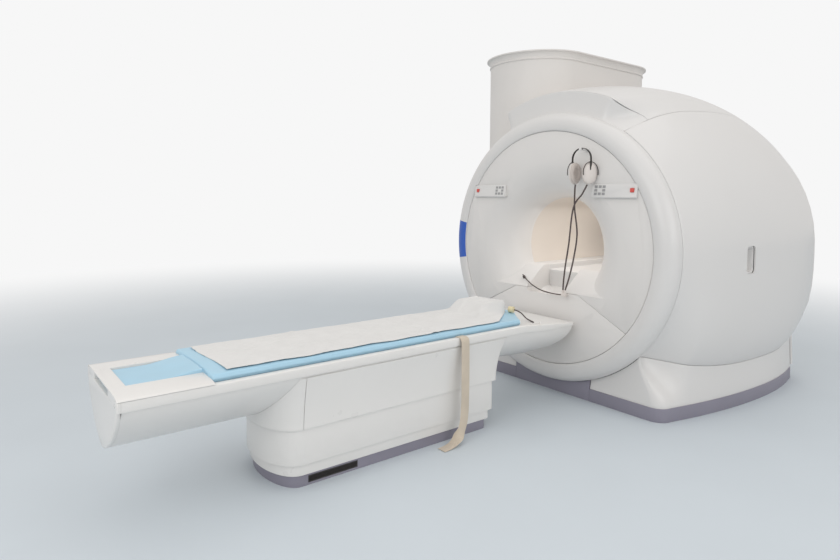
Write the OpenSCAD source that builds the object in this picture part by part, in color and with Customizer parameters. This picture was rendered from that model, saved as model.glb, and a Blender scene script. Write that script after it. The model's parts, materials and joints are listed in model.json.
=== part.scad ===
// Magnetic resonance scanner with a 60 cm bore and a lowered patient table.
// +X runs along the bore from the table's foot to the magnet, +Z is up,
// and the origin is on the floor under the middle of the bore.

/* [Bore and front] */
// Height of the bore axis above the floor
axis_h = 880; // [870:1:890]
// Radius of the patient bore
bore_r = 300; // [290:1:306]
// Wall of the bore liner
liner_t = 6; // [4:0.5:8]
// Distance from the middle of the bore to its front edge
throat_x = 600; // [580:1:610]
// Distance from the middle of the bore to the front face
face_x = 820; // [810:1:830]
// Radius at which the trumpet mouth meets the flat face
mouth_r = 520; // [505:1:535]
// Radius of the seam between face and ring
seam_r = 695; // [685:1:705]
// Outer radius of the front ring
ring_r = 805; // [795:1:806]
// Distance from the middle of the bore to the back of the ring
ring_back_x = 740; // [732:1:748]
// How far the ring's crest stands proud of the face
ring_crest = 10; // [6:1:14]
// Wall of the moulded covers
cover_t = 8; // [5:0.5:10]
// Open seam between neighbouring covers
seam_gap = 2; // [1:0.5:4]
// Height of the flat deck below the bore axis
deck_drop = 130; // [110:1:150]
// Thickness of the deck
deck_t = 12; // [8:1:16]
// Half width of the trough in the deck and the docking ramp
trough_w = 140; // [120:1:160]
// Depth of the trough in the deck
trough_d = 34; // [24:1:44]
// Drop from the bore axis to the seam over the lower front cover
lower_seam_drop = 260; // [250:1:280]

/* [Body covers] */
// Half width of the magnet covers at their widest
body_w = 940; // [925:1:955]
// Distance of that widest place behind the middle of the bore
body_mid_x = 350; // [300:1:400]
// Half width of the covers at their rear edge
body_rear_w = 880; // [860:1:900]
// Greatest height of the top cover above the bore axis
body_top = 1035; // [1020:1:1050]
// Rise of the hood's front edge above the ring
hood_rise = 130; // [120:1:140]
// Height of the top cover's rear edge above the bore axis
body_rear_top = 900; // [880:1:920]
// Distance from the middle of the bore to the covers' rear edge
body_rear_x = 762; // [750:1:775]
// Distance from the middle of the bore to the rear face
rear_x = 820; // [805:1:835]
// Angle from the vertical to the seam between top and side covers
seam_angle = 34.5; // [33:0.5:36]
// Lowest height of the seam between side cover and skirt
skirt_top = 243; // [230:1:260]

/* [Base] */
// Height of the magnet's plinth
plinth_h = 74; // [60:1:74]
// How far the plinth's front stands in front of the ring's back
base_out = 12; // [8:1:24]
// Distance from the middle of the bore to the plinth's rear
base_rear_x = 760; // [745:1:770]
// Half width of the plinth at its widest
base_w = 848; // [835:1:860]
// Distance of that widest place behind the middle of the bore
base_mid_x = 230; // [200:1:260]
// How much narrower the plinth is at its front
base_front_taper = 138; // [120:1:150]
// How much narrower the plinth is at its rear
base_rear_taper = 70; // [50:1:90]
// Radius of the plinth's corners
base_corner_r = 80; // [60:1:95]
// Wall of the plinth
plinth_t = 30; // [20:1:40]
// Half width of the front plinth piece
front_plinth_w = 280; // [265:1:300]

/* [Magnet inside] */
// Outer radius of the cryostat
cryostat_r = 750; // [735:1:755]
// Inner radius of the cryostat
cryostat_bore = 450; // [445:1:460]
// Half length of the cryostat
cryostat_l = 600; // [580:1:606]
// Half length of the gradient coil
gradient_l = 560; // [520:1:580]
// Outer radius of the body coil
body_coil_r = 345; // [335:1:360]
// Half length of the body coil
body_coil_l = 440; // [400:1:480]
// Clearance between parts that sit in each other
fit = 0.3; // [0.2:0.05:0.5]

/* [Service column] */
// Half width of the column's shaft
column_r = 338; // [325:1:345]
// Distance from the column's far side to the widest place of the covers
column_inset = 57; // [48:1:64]
// Middle of the column's front end, behind the middle of the bore
column_x0 = -272; // [-285:1:-260]
// Height of the column's top above the floor
column_top = 2158; // [2120:1:2200]
// How far the collar stands out at the top
collar_out = 24; // [16:1:30]
// Height of the collar
collar_h = 58; // [45:1:70]
// Wall of the column
column_t = 12; // [8:1:16]
// Radius of the quench pipe
quench_r = 100; // [80:1:120]

/* [Operator panels and headset] */
// Distance from the bore axis to a panel's inner end
panel_y0 = 325; // [318:1:332]
// Distance from the bore axis to a panel's outer end
panel_y1 = 600; // [590:1:606]
// Height of the panels' lower edges above the bore axis
panel_rise = 297; // [290:1:304]
// Height of a panel
panel_h = 81; // [78:1:86]
// How far a panel's lower edge stands out
panel_out = 17; // [13:1:20]
// Width of a stop button
stop_w = 22; // [18:1:24]
// Travel of a stop button
stop_travel = 3; // [2:0.5:4]
// Distance of the headset peg from the bore axis, to the near side
peg_y = 285; // [280:1:290]
// Height of the headset peg above the bore axis
peg_rise = 567; // [562:1:572]
// Radius of the headband's middle line
band_r = 61; // [58:1:64]
// Diameter of the headset's air tubes
tube_d = 9; // [8:0.5:10]

/* [Table] */
// Height of the table's rim above the floor
rim_z = 508; // [505:1:512]
// Half width over the rim
rim_w = 260; // [255:1:265]
// Height of the rim band
rim_h = 38; // [35:1:42]
// Depth of the beam below the rim band
beam_d = 198; // [190:1:204]
// Distance from the middle of the bore to the table's foot end
foot_x = 3260; // [3240:1:3280]
// Distance from the middle of the bore to the tip of the table's nose
tip_x = 862; // [860:1:880]
// Half width of the nose's tip
tip_w = 245; // [235:1:248]
// Distance from the middle of the bore to the head end of the tabletop
top_head_x = 1135; // [1125:1:1145]
// Half width of the tabletop
top_w = 231; // [225:1:234]
// Thickness of the tabletop
top_t = 15; // [12:1:18]
// Height of the rails that the tabletop slides on, above the floor
rail_z = 488; // [485:1:490]
// Half width of the mattress
mattress_w = 228; // [220:1:232]
// Thickness of the mattress
mattress_t = 35; // [28:1:42]
// Travel of the table lift
lift = 250; // [200:5:250]
// Travel of the tabletop with the table lowered
top_travel = 240; // [180:5:240]

/* [Pedestal] */
// Half width of the upper pedestal cover
ped_w = 226; // [222:1:232]
// Step from each pedestal cover to the one inside it
ped_step = 8; // [7:0.5:10]
// Distance from the middle of the bore to the pedestal's nose
ped_nose_x = 2698; // [2680:1:2715]
// Distance from the middle of the bore to the seam behind the nose
ped_seam_x = 2560; // [2540:1:2580]
// Distance from the middle of the bore to the upper cover's rear end
ped_rear_x = 1450; // [1440:1:1460]
// Step from each cover's rear end to the one below
ped_rear_step = 20; // [16:1:24]
// Height of the pedestal's plinth
ped_plinth_h = 50; // [44:1:54]
// Height of the seam over the lowest cover
ped_seam_low = 96; // [90:1:102]
// Height of the seam under the upper cover
ped_seam_high = 243; // [236:1:250]
// Wall of the pedestal covers
ped_t = 5; // [4:0.5:6]
// Distance between the two lift columns
lift_span = 640; // [560:5:700]
// Radius of the outer lift tubes
lift_r = 70; // [62:1:78]

/* [Drive] */
// Radius of the belt pulleys
pulley_r = 30; // [26:0.5:32]
// Width of the drive belt
belt_w = 32; // [24:1:40]
// Thickness of the drive belt
belt_t = 3; // [2:0.5:3.5]
// Radius of the pulley shafts
shaft_r = 8; // [6:0.5:10]

/* [Hidden] */
$fn = 96;
near = -1;
far = 1;
big = 4000;

// Seams and outlines of the magnet covers
mouth_rx = face_x - throat_x;
mouth_rr = mouth_r - bore_r;
deck_z = axis_h - deck_drop;
lower_seam_z = axis_h - lower_seam_drop;
hood_r = ring_r + hood_rise;
base_front_x = ring_back_x + base_out;
column_y = body_w - column_r - column_inset;
column_x1 = body_rear_x - column_r;
panel_z0 = axis_h + panel_rise;
panel_z1 = panel_z0 + panel_h;
peg_z = axis_h + peg_rise;
hood_x = ring_back_x;
cover_x0 = ring_back_x - seam_gap;
skirt_front_rise = 85;
skirt_rear_rise = 62;
side_power = 3.4;
skirt_lean = 12;
shoulder_l = 190;
hood_blend_x = -300;

function clamp01(v) = min(1, max(0, v));
function smooth(v) = let(c = clamp01(v)) c * c * (3 - 2 * c);

// Half width, top height and seam height of the body at a distance x along it
function body_width(x) =
  x < body_mid_x
  ? body_w - (body_w - ring_r) * pow((body_mid_x - x) / (body_mid_x + ring_back_x), 2.2)
  : body_w - (body_w - body_rear_w) * pow((x - body_mid_x) / (body_rear_x - body_mid_x), 2);
top_mid_x = 100;
function top_height(x) =
  x < top_mid_x
  ? body_top - (body_top - hood_r) * pow((top_mid_x - x) / (top_mid_x + hood_x), 2)
  : body_top - (body_top - body_rear_top) * pow((x - top_mid_x) / (body_rear_x - top_mid_x), 2.2);
function side_height(x) =
  top_height(x) - (hood_r - ring_r) * pow(clamp01((hood_blend_x - x) / (hood_x + hood_blend_x)), 2);
function skirt_z(x) =
  skirt_top + skirt_front_rise * pow(max(0, -x) / ring_back_x, 2.2)
  + skirt_rear_rise * pow(max(0, x - 300) / (body_rear_x - 300), 2);

// Plan outline of the magnet's base
function base_side(x) =
  base_w - (x < base_mid_x ? base_front_taper : base_rear_taper)
  * pow((x - base_mid_x) / (x < base_mid_x ? base_mid_x + base_front_x : base_rear_x - base_mid_x), 2);
base_x0 = -base_front_x + base_corner_r;
base_x1 = base_rear_x - base_corner_r;
function base_corner(x, a, inset) =
  [x + (base_corner_r - inset) * cos(a), base_side(x) - base_corner_r + (base_corner_r - inset) * sin(a)];
function base_half(inset) = concat(
  [[-base_front_x + inset, 0]],
  [for (a = [180:-15:90]) base_corner(base_x0, a, inset)],
  [for (i = [1:11]) let(x = base_x0 + (base_x1 - base_x0) * i / 12) [x, base_side(x) - inset]],
  [for (a = [90:-15:0]) base_corner(base_x1, a, inset)],
  [[base_rear_x - inset, 0]]
);

// Lower half of a side cover: a fuller curve that ends at the skirt's top edge
function circle_y(z) = sqrt(max(1, ring_r * ring_r - pow(axis_h - z, 2)));
function shoulder(x) = smooth((x + ring_back_x) / shoulder_l);
function seam_half(x) =
  let(s = shoulder(x)) (1 - s) * circle_y(skirt_z(x)) + s * (base_side(x) - skirt_lean);
function low_power(x) = 2 + (side_power - 2) * shoulder(x);
function low_depth(x) =
  (axis_h - skirt_z(x)) / pow(1 - pow(seam_half(x) / body_width(x), low_power(x)), 1 / low_power(x));
function side_r(x, a) =
  a >= 0
  ? 1 / sqrt(pow(cos(a) / body_width(x), 2) + pow(sin(a) / side_height(x), 2))
  : pow(pow(cos(a) / body_width(x), low_power(x)) + pow(-sin(a) / low_depth(x), low_power(x)),
        -1 / low_power(x));
function side_top_angle(x) = 90 - seam_angle - seam_gap / body_w * 180 / PI;
function side_low_angle(x) = -atan2(axis_h - skirt_z(x) - seam_gap, seam_half(x));
function side_point(x, a, t, side) =
  let(r = side_r(x, a) - t) [x, side * r * cos(a), axis_h + r * sin(a)];

// Top cover: an ellipse across the body that rolls into the side covers near the seam
roll_span = 11;
roll_angle = seam_angle - roll_span;
hood_sweep = 160;
hood_lip = 5;
hood_angles = [for (j = [-12:12]) seam_angle * j / 12];
function roll(a) = smooth((abs(a) - roll_angle) / roll_span);
function top_r(x, a) =
  let(t = 1 / sqrt(pow(sin(a) / body_w, 2) + pow(cos(a) / top_height(x), 2)), s = side_r(x, 90 - abs(a)))
  t + (s - t) * roll(a);
function top_front(a) = -hood_x - hood_lip + hood_sweep * smooth((abs(a) - roll_angle) / (roll_span - 1));
function top_point(x, a, t) =
  let(r = top_r(x, a) - t) [x, r * sin(a), axis_h + r * cos(a)];

// Table sizes that follow from the ones above
rail_inner = 190;
rail_gap = 1;
top_z0 = rail_z + fit;
top_z1 = top_z0 + top_t;
mattress_z1 = top_z1 + fit + mattress_t;
fold_z = rim_z - rim_h;
nose_start_x = top_head_x + 165;
nose_drop = 36;
top_foot_x = foot_x - 70;
frame_x0 = -(foot_x - 4);
frame_l = 325;
mattress_x0 = frame_x0 + frame_l + fit;
mattress_x1 = -(top_head_x + 15);
beam_taper_x = 1750;
beam_power = 1.45;
nose_power = 1.8;
nose_flat = 100;
nose_d = 170;
nose_x = 930;
ped_mid_w = ped_w - ped_step;
ped_low_w = ped_w - 2 * ped_step;
ped_plinth_w = ped_w - 3 * ped_step;
lift_x0 = -(ped_rear_x + ped_nose_x) / 2 - lift_span / 2 + 5;
lift_x1 = lift_x0 + lift_span;
frame_t = 20;
tube_t = 8;
lift_mid_r = lift_r - tube_t - fit;
lift_in_r = lift_mid_r - tube_t - fit;
beam_bottom = fold_z - beam_d;
beam_flat = lift_in_r + 4;
cavity_x0 = -foot_x;
cavity_x1 = -(beam_taper_x + 5);
pulley_z = rail_z - 20 - belt_t - fit - pulley_r;
pulley_x0 = -(foot_x - 190);
pulley_x1 = -(beam_taper_x + 60);

cover_white = "#f1efec";
shade_white = "#e6e4e2";
plinth_grey = "#7f7d8c";
metal_grey = "#b9bcc0";
dark_grey = "#4a4644";
soft_blue = "#a9d3ea";

// Turn a shape drawn round +Z so that it lies round the bore axis
module on_axis() {
  translate([0, 0, axis_h]) rotate([0, 90, 0]) children();
}

// Give a cross-section (y, z) a length along X
module along_x(x0, x1) {
  translate([x0, 0, 0]) rotate([90, 0, 90]) linear_extrude(x1 - x0) children();
}

// Give a side view (x, z) a width along Y
module along_y(y0, y1) {
  translate([0, y1, 0]) rotate([90, 0, 0]) linear_extrude(y1 - y0) children();
}

module tube(r_out, r_in, l) {
  difference() {
    translate([0, 0, -l]) cylinder(r = r_out, h = 2 * l);
    translate([0, 0, -l - 1]) cylinder(r = r_in, h = 2 * l + 2);
  }
}

module rounded_rect(x0, y0, x1, y1, r) {
  translate([x0 + r, y0]) square([x1 - x0 - 2 * r, y1 - y0]);
  translate([x0, y0 + r]) square([x1 - x0, y1 - y0 - 2 * r]);
  for (x = [x0 + r, x1 - r], y = [y0 + r, y1 - r]) translate([x, y]) circle(r = r, $fn = 48);
}

// A curved wall: a grid of outer points and one of inner points, closed round the edge
module wall(outer, inner, flip = false) {
  rows = len(outer);
  cols = len(outer[0]);
  half = rows * cols;
  function at(i, j, side) = side * half + i * cols + j;
  function quad(a, b, c, d) = flip ? [[c, b, a], [d, c, a]] : [[a, b, c], [a, c, d]];
  faces = concat(
    [for (i = [0:rows - 2], j = [0:cols - 2])
      each quad(at(i, j, 0), at(i, j + 1, 0), at(i + 1, j + 1, 0), at(i + 1, j, 0))],
    [for (i = [0:rows - 2], j = [0:cols - 2])
      each quad(at(i, j, 1), at(i + 1, j, 1), at(i + 1, j + 1, 1), at(i, j + 1, 1))],
    [for (j = [0:cols - 2])
      each quad(at(0, j, 0), at(0, j, 1), at(0, j + 1, 1), at(0, j + 1, 0))],
    [for (j = [0:cols - 2])
      each quad(at(rows - 1, j, 0), at(rows - 1, j + 1, 0), at(rows - 1, j + 1, 1), at(rows - 1, j, 1))],
    [for (i = [0:rows - 2])
      each quad(at(i, 0, 0), at(i + 1, 0, 0), at(i + 1, 0, 1), at(i, 0, 1))],
    [for (i = [0:rows - 2])
      each quad(at(i, cols - 1, 0), at(i, cols - 1, 1), at(i + 1, cols - 1, 1), at(i + 1, cols - 1, 0))]
  );
  polyhedron(points = concat([for (r = outer) each r], [for (r = inner) each r]), faces = faces);
}

// A solid skinned over a row of closed outlines with equal numbers of points
module skin(rings) {
  n = len(rings[0]);
  m = len(rings);
  faces = concat(
    [for (i = [0:m - 2], j = [0:n - 1]) [(i + 1) * n + (j + 1) % n, i * n + (j + 1) % n, i * n + j]],
    [for (i = [0:m - 2], j = [0:n - 1]) [(i + 1) * n + j, (i + 1) * n + (j + 1) % n, i * n + j]],
    [[for (j = [0:n - 1]) j]],
    [[for (j = [n - 1:-1:0]) (m - 1) * n + j]]
  );
  polyhedron(points = [for (r = rings) each r], faces = faces);
}

// Points of a smooth curve through chosen points, steps to each stretch
function spline_at(p0, p1, p2, p3, t) =
  0.5 * ((2 * p1) + (p2 - p0) * t + (2 * p0 - 5 * p1 + 4 * p2 - p3) * t * t
  + (3 * p1 - p0 - 3 * p2 + p3) * t * t * t);
function spline(p, steps) = let(n = len(p)) [
  for (i = [0:n - 2], k = [0:steps - 1])
    spline_at(p[max(0, i - 1)], p[i], p[i + 1], p[min(n - 1, i + 2)], k / steps),
  p[n - 1]
];
function unit(v) = v / norm(v);
function run_dir(p, i) = unit(p[min(len(p) - 1, i + 1)] - p[max(0, i - 1)]);

// A cord: a round tube along a route, with up as a direction that it never takes
module cord(route, d, up, steps = 4) {
  p = spline(route, steps);
  sides = 8;
  skin([for (i = [0:len(p) - 1]) let(t = run_dir(p, i), u = unit(cross(up, t)), v = cross(t, u))
    [for (k = [0:sides - 1]) p[i] + d / 2 * (cos(360 * k / sides) * u + sin(360 * k / sides) * v)]]);
}

// Outline of the column in plan
module column_outline(r) {
  translate([column_x0, column_y - r]) square([column_x1 - column_x0, 2 * r]);
  for (x = [column_x0, column_x1]) translate([x, column_y]) circle(r = r);
}

module column_void() {
  translate([0, 0, column_foot_z - seam_gap]) linear_extrude(big) column_outline(column_r + seam_gap);
  translate([column_x1 + column_r / 2, column_y - column_r / 4, axis_h]) cube([big, column_r / 2, big]);
}

// A round bar as thick as the cryostat, to shape what stands on it
module cryostat_bar(grow) {
  on_axis() translate([0, 0, -big / 2]) cylinder(r = cryostat_r + grow, h = big, $fn = 288);
}

// Side view of the mouth from the seam to the bore, t below the surface
function mouth_curve(t) =
  [for (a = [0:6:90]) [mouth_r - (mouth_rr - t) * sin(a), -throat_x - (mouth_rx - t) * cos(a)]];

module mouth_shell() {
  color(cover_white) on_axis() rotate_extrude($fn = 120) polygon(concat(
    [[seam_r - seam_gap, -face_x]], mouth_curve(0),
    [for (i = [len(mouth_curve(cover_t)) - 1:-1:0]) mouth_curve(cover_t)[i]],
    [[seam_r - seam_gap, -face_x + cover_t]]
  ));
}

// The air in front of the mouth's surface, reaching half way into its wall
module mouth_air() {
  on_axis() rotate_extrude($fn = 120) polygon(concat(
    [[0, -face_x]], mouth_curve(cover_t / 2), [[0, -throat_x]]
  ));
}

ramp_front_z = axis_h - 480;
trough_front_z = axis_h - 540;
apron_z = axis_h - 302;
ramp_low = [-face_x + 18, lower_seam_z + 20];
ramp_high = [-throat_x - 70, deck_z - 8];
module docking_ramp() {
  intersection() {
    mouth_air();
    union() {
      for (side = [near, far]) along_y(min(side * trough_w, side * 420), max(side * trough_w, side * 420))
        polygon([[-throat_x, ramp_front_z], [-face_x, ramp_front_z], [-face_x, lower_seam_z],
                 ramp_low, ramp_high,
                 [-throat_x - 52, deck_z], [-throat_x, deck_z]]);
      along_y(-trough_w - 1, trough_w + 1)
        polygon([[-throat_x, trough_front_z], [-face_x, trough_front_z], [-face_x, lower_seam_z - 20],
                 [-face_x + 22, lower_seam_z - 30], [-throat_x - 60, apron_z],
                 [-throat_x - 20, apron_z + 12], [-throat_x, apron_z + 34]]);
    }
  }
}

// Region in front view that belongs to the lower front cover
lower_seam_y = 232;
lower_seam_end_y = 558;
lower_seam_end_z = axis_h - 433;
lower_zone_z = axis_h - 640;
module lower_zone(grow) {
  along_x(-face_x - 60, -face_x + 60) polygon([
    [-lower_seam_y, lower_seam_z + grow], [lower_seam_y, lower_seam_z + grow],
    [lower_seam_end_y + grow, lower_seam_end_z + grow], [ring_r, lower_zone_z], [ring_r, 0],
    [-ring_r, 0], [-ring_r, lower_zone_z], [-lower_seam_end_y - grow, lower_seam_end_z + grow]
  ]);
}

module front_solid() {
  mouth_shell();
  docking_ramp();
}

module panel_outline(side, grow) {
  rounded_rect(min(side * panel_y0, side * panel_y1) - grow, panel_z0 - grow,
               max(side * panel_y0, side * panel_y1) + grow, panel_z1 + grow, 10);
}

module panel_voids() {
  for (side = [near, far]) along_x(-face_x - 60, -face_x + 60) panel_outline(side, fit);
}

module front_face_cover() {
  color(cover_white) difference() {
    front_solid();
    lower_zone(seam_gap);
    panel_voids();
  }
}

module lower_front_cover() {
  color(cover_white) intersection() {
    front_solid();
    lower_zone(0);
  }
}

crest_w = 30;
ring_round = 60;
function ring_curve(t) = concat(
  [for (a = [0:30:60]) [seam_r + t + (crest_w - t) * (1 - cos(a)), -face_x - (ring_crest - t / 2) * sin(a)]],
  [for (a = [0:10:90]) [seam_r + crest_w + (ring_r - seam_r - crest_w - t) * sin(a),
                        -face_x + ring_round - (ring_round + ring_crest - t) * cos(a)]]
);
module front_ring() {
  outer = ring_curve(0);
  inner = ring_curve(cover_t);
  color(cover_white) difference() {
    on_axis() rotate_extrude($fn = 144) polygon(concat(
      [[seam_r, -face_x + cover_t]], outer, [[ring_r, -ring_back_x], [ring_r - cover_t, -ring_back_x]],
      [for (i = [len(inner) - 1:-1:0]) inner[i]], [[seam_r + cover_t, -face_x + cover_t]]
    ));
    panel_voids();
  }
}

cowl_depth = 26;
cowl_gap = 4;
function cowl_point(a, b, t) = let(
  k = roll(a), x1 = top_front(a) - seam_gap - cover_t * (1 - k), r0 = ring_r + 2 * fit,
  r1 = top_r(max(x1, -hood_x), a) - cowl_gap * (1 - k), x0 = -hood_x - cowl_depth * (1 - k) + fit * k,
  cr = 1 - cos(b), cx = sin(b), l = b / 90,
  r = r0 + (r1 - r0) * (cr + (l - cr) * k) - t * k * sin(b),
  x = x0 + (x1 - x0) * (cx + (l - cx) * k) + t * (1 - k * sin(b)))
  [x, r * sin(a), axis_h + r * cos(a)];
module cowl_band() {
  color(shade_white) difference() {
    wall([for (a = hood_angles) [for (b = [0:15:90]) cowl_point(a, b, 0)]],
         [for (a = hood_angles) [for (b = [0:15:90]) cowl_point(a, b, cover_t)]], flip = true);
    column_void();
  }
}

module top_cover() {
  rows = 14;
  function row(i, t) = [for (a = hood_angles) let(x0 = top_front(a)) top_point(x0 + (body_rear_x - x0) * i / rows, a, t)];
  color(cover_white) difference() {
    wall([for (i = [0:rows]) row(i, 0)], [for (i = [0:rows]) row(i, cover_t)], flip = false);
    column_void();
  }
}

module side_cover(side) {
  xs = [for (i = [0:16]) -cover_x0 + (body_rear_x + cover_x0) * i / 16];
  function row(x, t) = [for (j = [0:14])
    side_point(x, side_top_angle(x) + (side_low_angle(x) - side_top_angle(x)) * j / 14, t, side)];
  wall([for (x = xs) row(x, 0)], [for (x = xs) row(x, cover_t)], flip = side < 0);
}

// Slots that the finger grips fill
grip_x = -212;
grip_z = axis_h - 32;
grip_l = 150;
grip_w = 86;
module grip_outline(grow) {
  rounded_rect(grip_x - grip_w / 2 - grow, grip_z - grip_l / 2 - grow,
               grip_x + grip_w / 2 + grow, grip_z + grip_l / 2 + grow, 20);
}

module near_side_cover() {
  color(cover_white) difference() {
    side_cover(near);
    along_y(-big, 0) grip_outline(fit);
  }
}

module far_side_cover() {
  color(cover_white) difference() {
    side_cover(far);
    along_y(0, big) grip_outline(fit);
    column_void();
  }
}

grip_y = body_width(grip_x);
module side_grips() {
  color(shade_white) for (side = [near, far]) difference() {
    along_y(min(side * (grip_y - 40), side * (grip_y - 6)), max(side * (grip_y - 40), side * (grip_y - 6)))
      grip_outline(0);
    along_y(min(side * (grip_y - 32), side * (grip_y + 1)), max(side * (grip_y - 32), side * (grip_y + 1)))
      grip_outline(-8);
  }
}

// Outline of the whole body in rear view at its rear edge
function rear_half(t) = concat(
  [for (j = [0:8]) let(x = body_rear_x, a = seam_angle * j / 8, r = top_r(x, a) - t)
    [r * sin(a), axis_h + r * cos(a)]],
  [for (j = [1:14]) let(x = body_rear_x, a = side_top_angle(x) + (side_low_angle(x) - side_top_angle(x)) * j / 14,
    r = side_r(x, a) - t) [r * cos(a), axis_h + r * sin(a)]]
);
module rear_outline(t) {
  edge = concat(rear_half(t), [[base_side(base_rear_x) - t, plinth_h + t]]);
  n = len(edge);
  polygon(concat(edge, [for (i = [n - 1:-1:1]) [-edge[i][0], edge[i][1]]]));
}

rear_mouth_r = 400;
module rear_cover() {
  depth = rear_x - body_rear_x;
  rear_throat = rear_x - 160;
  color(cover_white) union() {
    difference() {
      along_x(body_rear_x + fit, rear_x - depth / 2) rear_outline(3);
      along_x(body_rear_x, rear_x - depth / 2 - cover_t) rear_outline(3 + cover_t);
      on_axis() translate([0, 0, rear_throat]) cylinder(r = rear_mouth_r + 40, h = 400);
    }
    on_axis() difference() {
      rotate_extrude($fn = 96) polygon(concat(
        [for (a = [0:10:90]) [rear_mouth_r + 100 - (rear_mouth_r + 100 - bore_r) * sin(a),
                              rear_throat + (rear_x - rear_throat) * cos(a)]],
        [[bore_r + cover_t, rear_throat], [rear_mouth_r + 60, rear_x - depth / 2 - cover_t],
         [rear_mouth_r + 100, rear_x - depth / 2 - cover_t]]
      ));
      translate([0, 0, rear_throat - 1]) cylinder(r = bore_r, h = 400);
    }
  }
}

// Skirt: a wall from the plinth's outline up to the lower edge of the side cover
skirt_rows = 5;
skirt_front_step = 68;
skirt_front_y = front_plinth_w + 2 * seam_gap;
skirt_front_ys = [for (i = [0:4]) skirt_front_y + skirt_front_step * i];
skirt_corner_z = axis_h - 562;
function skirt_base(i) = base_half(4)[i];
function skirt_top_point(p) =
  let(x = min(max(p[0], -ring_back_x), body_rear_x - 4),
      y = p[0] < -ring_back_x
        ? min(skirt_front_y + (p[1] - skirt_front_y) * 0.88, circle_y(skirt_corner_z)) : seam_half(x),
      yy = p[0] > base_x1 ? min(y, p[1] + 6) : y,
      z = p[0] < -ring_back_x ? axis_h - sqrt(pow(ring_r + seam_gap, 2) - yy * yy) : skirt_z(x))
  [x, yy, z];
function skirt_point(p, k, t, side) =
  let(q = skirt_top_point(p), s = k / (skirt_rows - 1), b = smooth(s),
      x = p[0] + (q[0] - p[0]) * b, y = p[1] + (q[1] - p[1]) * b,
      z = plinth_h + (q[2] - plinth_h) * s, l = norm([x, y]))
  [x - t * x / l, side * (y - t * y / l), z];
module skirt(side) {
  pts = concat([for (y = skirt_front_ys) [-base_front_x + 4, y]], [for (i = [1:25]) skirt_base(i)]);
  wall([for (p = pts) [for (k = [0:skirt_rows - 1]) skirt_point(p, k, 0, side)]],
       [for (p = pts) [for (k = [0:skirt_rows - 1]) skirt_point(p, k, cover_t, side)]],
       flip = side > 0);
}
module near_skirt() { color(cover_white) skirt(near); }
module far_skirt() { color(cover_white) skirt(far); }

module base_ring(side) {
  mirror([0, side < 0 ? 1 : 0, 0]) linear_extrude(plinth_h) difference() {
    polygon(base_half(0));
    polygon(base_half(plinth_t));
  }
}
front_plinth_h = axis_h - sqrt(pow(ring_r + seam_gap, 2) - pow(front_plinth_w, 2)) - 1;
module magnet_plinth() {
  color(plinth_grey) for (side = [near, far]) difference() {
    base_ring(side);
    translate([-big, side > 0 ? -1 : -front_plinth_w, -1]) cube([big, front_plinth_w + 1, plinth_h + 2]);
  }
  color(plinth_grey) difference() {
    translate([-base_front_x, -front_plinth_w + fit, 0])
      cube([plinth_t, 2 * (front_plinth_w - fit), front_plinth_h]);
    on_axis() translate([0, 0, -big / 2]) cylinder(r = ring_r + seam_gap, h = big, $fn = 288);
  }
}

module magnet_cryostat() {
  color(metal_grey) on_axis() tube(cryostat_r, cryostat_bore, cryostat_l);
}

module gradient_coil() {
  color("#c9a86a") on_axis() tube(cryostat_bore - fit, body_coil_r + fit, gradient_l);
}

module body_coil() {
  color("#d8c27a") on_axis() tube(body_coil_r, bore_r + liner_t + fit, body_coil_l);
}

module bore_liner() {
  color(cover_white) on_axis() translate([0, 0, (rear_x - 160 - throat_x) / 2])
    tube(bore_r + liner_t, bore_r, (rear_x - 160 + throat_x) / 2 - fit);
}

module bore_bridge() {
  x0 = -throat_x + fit;
  x1 = rear_x - 161;
  leg_y = trough_w + 30;
  color(shade_white) intersection() {
    translate([0, 0, axis_h]) rotate([0, 90, 0]) translate([0, 0, x0]) cylinder(r = bore_r - fit, h = x1 - x0);
    difference() {
      translate([x0, -bore_r, axis_h - bore_r - 1]) cube([x1 - x0, 2 * bore_r, bore_r - deck_drop + 1]);
      translate([x0 - 1, -trough_w, deck_z - trough_d]) cube([x1 - x0 + 2, 2 * trough_w, trough_d + 1]);
      translate([x0 + deck_t, -leg_y + deck_t, -1])
        cube([x1 - x0 - 2 * deck_t, 2 * (leg_y - deck_t), deck_z - trough_d - deck_t + 1]);
      for (side = [near, far])
        translate([x0 + deck_t, side > 0 ? leg_y : -bore_r - 1, -1])
          cube([x1 - x0 - 2 * deck_t, bore_r - leg_y + 1, deck_z - deck_t + 1]);
    }
  }
}

feet_x = cryostat_l - 170;
feet_y = cryostat_r / 2;
feet_l = 140;
feet_w = 120;
module magnet_feet() {
  color(dark_grey) for (x = [-feet_x, feet_x], y = [-feet_y, feet_y]) difference() {
    translate([x - feet_l / 2, y - feet_w / 2, 0]) cube([feet_l, feet_w, axis_h - cryostat_r / 2]);
    cryostat_bar(0);
  }
}

cold_head_x = -230;
module cold_head() {
  color(metal_grey) difference() {
    translate([cold_head_x, column_y, axis_h]) union() {
      cylinder(r = 72, h = 820);
      translate([0, 0, 680]) cylinder(r = 95, h = 60);
      translate([0, 0, 820]) cylinder(r = 50, h = 120);
    }
    translate([-big / 2, -big / 2, -1]) cube([big, big, axis_h + 1]);
    cryostat_bar(0);
  }
}

quench_x = 240;
quench_t = 4;
quench_floor = axis_h + sqrt(pow(cryostat_r, 2) - pow(column_y - quench_r, 2)) + quench_t;
module quench_pipe() {
  color(metal_grey) difference() {
    translate([quench_x, column_y, axis_h]) cylinder(r = quench_r, h = column_top - axis_h);
    translate([quench_x, column_y, quench_floor]) cylinder(r = quench_r - quench_t, h = big);
    cryostat_bar(0);
  }
}

column_foot_z = axis_h + 150;
module service_column() {
  color(shade_white) difference() {
    translate([0, 0, column_foot_z]) linear_extrude(column_top - collar_h - column_foot_z) difference() {
      column_outline(column_r);
      column_outline(column_r - column_t);
    }
    cryostat_bar(fit);
  }
}

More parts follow.
